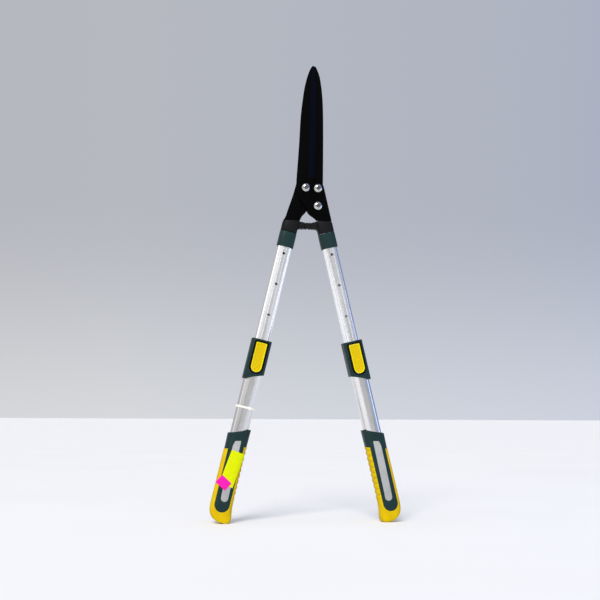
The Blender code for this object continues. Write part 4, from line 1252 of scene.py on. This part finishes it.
def build_inset(name, place, sign, matrix):
    """Soft pad, crowned like the grip, with rounded edges."""
    node = f"{name}_grip_inset_{place}"
    low, high = local_box(node, matrix)
    pad = extruded([inset_outline(node, sign, matrix)], low.y, high.y, "Y")
    bmesh.ops.holes_fill(pad, edges=pad.edges)
    for step in range(-5, 6):
        cut = step * 1.4 * MM
        everything = pad.verts[:] + pad.edges[:] + pad.faces[:]
        bmesh.ops.bisect_plane(pad, geom=everything, plane_co=(cut, 0, 0), plane_no=(1, 0, 0))
    outer_face = high.y if sign > 0 else -low.y
    proud = 0.3 * MM
    for vertex in pad.verts:
        vertex.co.y += sign * (oval_height(vertex.co.x, *GRIP_HALF) + proud - outer_face)
    add_piece(node, with_bevel(pad, 0.5 * MM, 3, 60), matrix, sharp=40)


# ---------------------------------------------------------------- tie and labels

PAPER_THICKNESS = 0.14 * MM
CORNER_LIFT = 1.4 * MM
FLAT_SHARE = 0.93  # share of the grip's half width that a label follows closely


def build_cable_tie(matrix):
    """Nylon band with its locking head and the cut end of its tail."""
    low, high = local_box("cable_tie", matrix)
    tube = local_box("left_lower_tube", matrix)[1]
    middle, half = (low.z + high.z) / 2, 1.9 * MM
    inner, outer, soft = GAP, GAP + 1.3 * MM, 0.35 * MM
    section = [
        (inner, -half + soft), (inner + soft, -half), (outer - soft, -half), (outer, -half + soft),
    ]
    rings = []
    for grow, rise in section + [(grow, -rise) for grow, rise in section[::-1]]:
        rings.append(at_height(oval(tube.x + grow, tube.y + grow, TUBE_POWER), middle + rise))
    band = skin(rings, wrap=True)

    def block(left, right, front, back, half_height, edge):
        """Rounded box; front and back count from the tie's frontmost point."""
        start = (left * MM, low.y + front * MM, middle - half_height * MM)
        end = (right * MM, low.y + back * MM, middle + half_height * MM)
        return with_bevel(box_mesh(start, end), edge * MM)

    head = block(4, 10, 0, 2.4, 2.6, 0.6)
    tail = block(-2.5, 5, 0.5, 1.5, 1.7, 0.3)
    add_piece("cable_tie", combined(band, [head, tail], "UNION"), matrix, sharp=40)


def build_label(node, size, centre, lean, lift, curl, matrix):
    """Blank paper label, bent over the grip's front, one corner lifting; curl signs pick which.

    Size, centre and lift are in mm, and lean is in degrees.
    """
    columns, rows = 24, 40
    lean = math.radians(lean)
    grid = []
    for j in range(rows + 1):
        row = []
        for i in range(columns + 1):
            u, v = i / columns - 0.5, j / rows - 0.5
            x, z = u * size[0] * MM, v * size[1] * MM
            across = centre[0] * MM + x * math.cos(lean) + z * math.sin(lean)
            along = centre[1] * MM + z * math.cos(lean) - x * math.sin(lean)
            outward = -across
            inner, outer, depth, power = section_at(along)
            middle, half = (inner + outer) / 2, (outer - inner) / 2
            within = min(abs(outward - middle), FLAT_SHARE * half)
            cover = oval_height(within, half, depth, power)
            past = max(0.0, abs(outward - middle) - FLAT_SHARE * half)
            corner = (max(0.0, 2 * u * curl[0]) * max(0.0, 2 * v * curl[1])) ** 2
            y = -(cover + lift * MM + CORNER_LIFT * corner) + 0.35 * past
            row.append(Vector((across, y, along)))
        grid.append(row)
    bm = bmesh.new()
    sheet(bm, grid)
    bmesh.ops.recalc_face_normals(bm, faces=bm.faces)
    add_piece(node, thickened(bm, PAPER_THICKNESS, 0), matrix, sharp=60)


# ---------------------------------------------------------------- assembly


def build_handle(name, side):
    """Everything from a ferrule down to its butt."""
    matrix = HANDLES[name]
    build_ferrule(name, side, matrix)
    build_bumper(name, side)
    build_upper_tube(name, matrix)
    build_collar(name, matrix)
    build_rivet(name, matrix)
    build_lower_tube(name, matrix)
    build_sleeve(name, side, matrix)
    build_bezel(name, matrix)
    build_button(name, matrix)
    build_overmould(name, side, matrix)
    build_core(name, side, matrix)
    for place, sign in FACES.items():
        build_inset(name, place, sign, matrix)


def finish_inner_parts():
    """CAD nodes whose shape is right keep their mesh and get their slot's procedural finish."""
    for node, piece in frame["nodes"].items():
        piece.data.materials.clear()
        piece.data.materials.append(MATERIALS[SLOT_OF[node]])


def build_stage():
    """Floor that runs to the horizon."""
    bm = bmesh.new()
    bmesh.ops.create_grid(bm, x_segments=1, y_segments=1, size=60)
    floor = as_object("floor", bm)
    floor.data.materials.append(MATERIALS["floor"])


def add_light(name, place, target, size, power, colour):
    """Soft box: a rectangular area light facing its target."""
    light = bpy.data.lights.new(name, "AREA")
    light.shape = "RECTANGLE"
    light.size, light.size_y = size
    light.energy = power
    light.color = colour
    lamp = add_object(name, light)
    lamp.location = place
    lamp.rotation_euler = (Vector(target) - Vector(place)).to_track_quat("-Z", "Y").to_euler()


def build_lights():
    """A broad soft sun from the front left and above, and two soft boxes at the sides."""
    sun = bpy.data.lights.new("key", "SUN")
    sun.energy, sun.angle, sun.color = 2.5, math.radians(24), (1.0, 0.985, 0.96)
    lamp = add_object("key", sun)
    lamp.rotation_euler = Vector((-0.42, -1.0, 0.95)).to_track_quat("Z", "Y").to_euler()
    middle = (0, 0, 0.45)
    add_light("left_fill", (-2.2, -0.6, 1.3), middle, (0.8, 1.6), 3, (1.0, 0.95, 0.93))
    add_light("right_fill", (2.2, -0.7, 0.5), middle, (0.8, 1.2), 5, (0.55, 0.72, 1.0))
    bpy.context.scene.view_settings.view_transform = "Standard"


WALLS = [
    (0.00, (0.47, 0.485, 0.53)), (0.10, (0.44, 0.44, 0.46)), (0.25, (0.72, 0.69, 0.68)),
    (0.36, (0.50, 0.48, 0.47)), (0.50, (0.24, 0.235, 0.225)), (0.62, (0.34, 0.36, 0.40)),
    (0.75, (0.52, 0.66, 1.00)), (0.84, (0.28, 0.35, 0.60)), (0.93, (0.42, 0.45, 0.54)),
    (1.00, (0.47, 0.485, 0.53)),
]
FRONT_GLOW = (0.85, 0.85, 0.87)
RIGHT_SHADE = (0.20, 0.26, 0.46)
HORIZON = (1.5, 1.48, 1.4)


def build_world():
    """Studio walls round the set: pale behind, warm on the left, cool on the right.

    WALLS runs clockwise seen from above, from the backdrop past the left, front and right back
    to the backdrop. In front they brighten upwards, as under a ceiling light, and on the right
    they darken. Everything is brighter near the horizon.
    """
    world = bpy.data.worlds.new("studio")
    bpy.context.scene.world = world
    world.use_nodes = True
    tree = world.node_tree

    def share(source, start, end, interpolation="SMOOTHSTEP"):
        """How far the source is from start to end, from 0 to 1."""
        inputs = {"Value": source, "From Min": start, "From Max": end}
        node = add_node(tree, "ShaderNodeMapRange", inputs, interpolation_type=interpolation)
        return node.outputs[0]

    def reckon(operation, first, second):
        node = add_node(tree, "ShaderNodeMath", {0: first, 1: second}, operation=operation)
        return node.outputs[0]

    direction = tree.nodes.new("ShaderNodeTexCoord").outputs["Generated"]
    x, y, z = add_node(tree, "ShaderNodeSeparateXYZ", {0: direction}).outputs
    turn = reckon("ARCTAN2", x, reckon("MULTIPLY", y, -1.0))
    colour = add_ramp(tree, share(turn, -math.pi, math.pi, "LINEAR"), WALLS)
    in_front, above = share(y, -0.3, -0.8), share(z, 0.03, 0.28)
    to_right, raised = share(x, 0.35, 0.8), share(z, 0.05, 0.25)
    for tint, first, second, blend in (
        (FRONT_GLOW, in_front, above, "MIX"), (RIGHT_SHADE, to_right, raised, "MIX"),
        (HORIZON, share(z, 0.2, -0.06), 1.0, "MULTIPLY"),
    ):
        factor = reckon("MULTIPLY", first, second)
        inputs = {"Fac": factor, "Color1": colour, "Color2": (*tint, 1)}
        colour = add_node(tree, "ShaderNodeMixRGB", inputs, blend_type=blend).outputs["Color"]
    background = tree.nodes["Background"].inputs
    tree.links.new(colour, background["Color"])
    background["Strength"].default_value = 1.0


def build_camera():
    """Eye a little left of the middle and below mid-height, looking slightly up."""
    azimuth, elevation, distance = math.radians(-9), math.radians(-6), 2.127
    aim = Vector((-0.0136, 0, 0.4237))
    back = Vector((
        math.sin(azimuth) * math.cos(elevation), -math.cos(azimuth) * math.cos(elevation),
        math.sin(elevation),
    ))
    lens = bpy.data.cameras.new("camera")
    lens.lens = 66
    lens.sensor_width = 36
    lens.clip_end = 200
    camera = add_object("camera", lens)
    camera.location = aim + back * distance
    level = back.to_track_quat("Z", "Y")
    camera.rotation_euler = (level @ Quaternion((0, 0, 1), math.radians(0.28))).to_euler()
    bpy.context.scene.camera = camera


finish_inner_parts()
build_head()
for handle_name, handle_side in SIDES.items():
    build_handle(handle_name, handle_side)
build_cable_tie(HANDLES["left"])
for label in (
    ("price_label", (26.8, 66), (2.1, 105), 7, 0.62, (1, 1)),
    ("small_label", (23.5, 18), (-7.4, 76.6), 29.5, 1.1, (-1, -1)),
):
    build_label(*label, HANDLES["left"])
build_stage()
build_lights()
build_world()
build_camera()
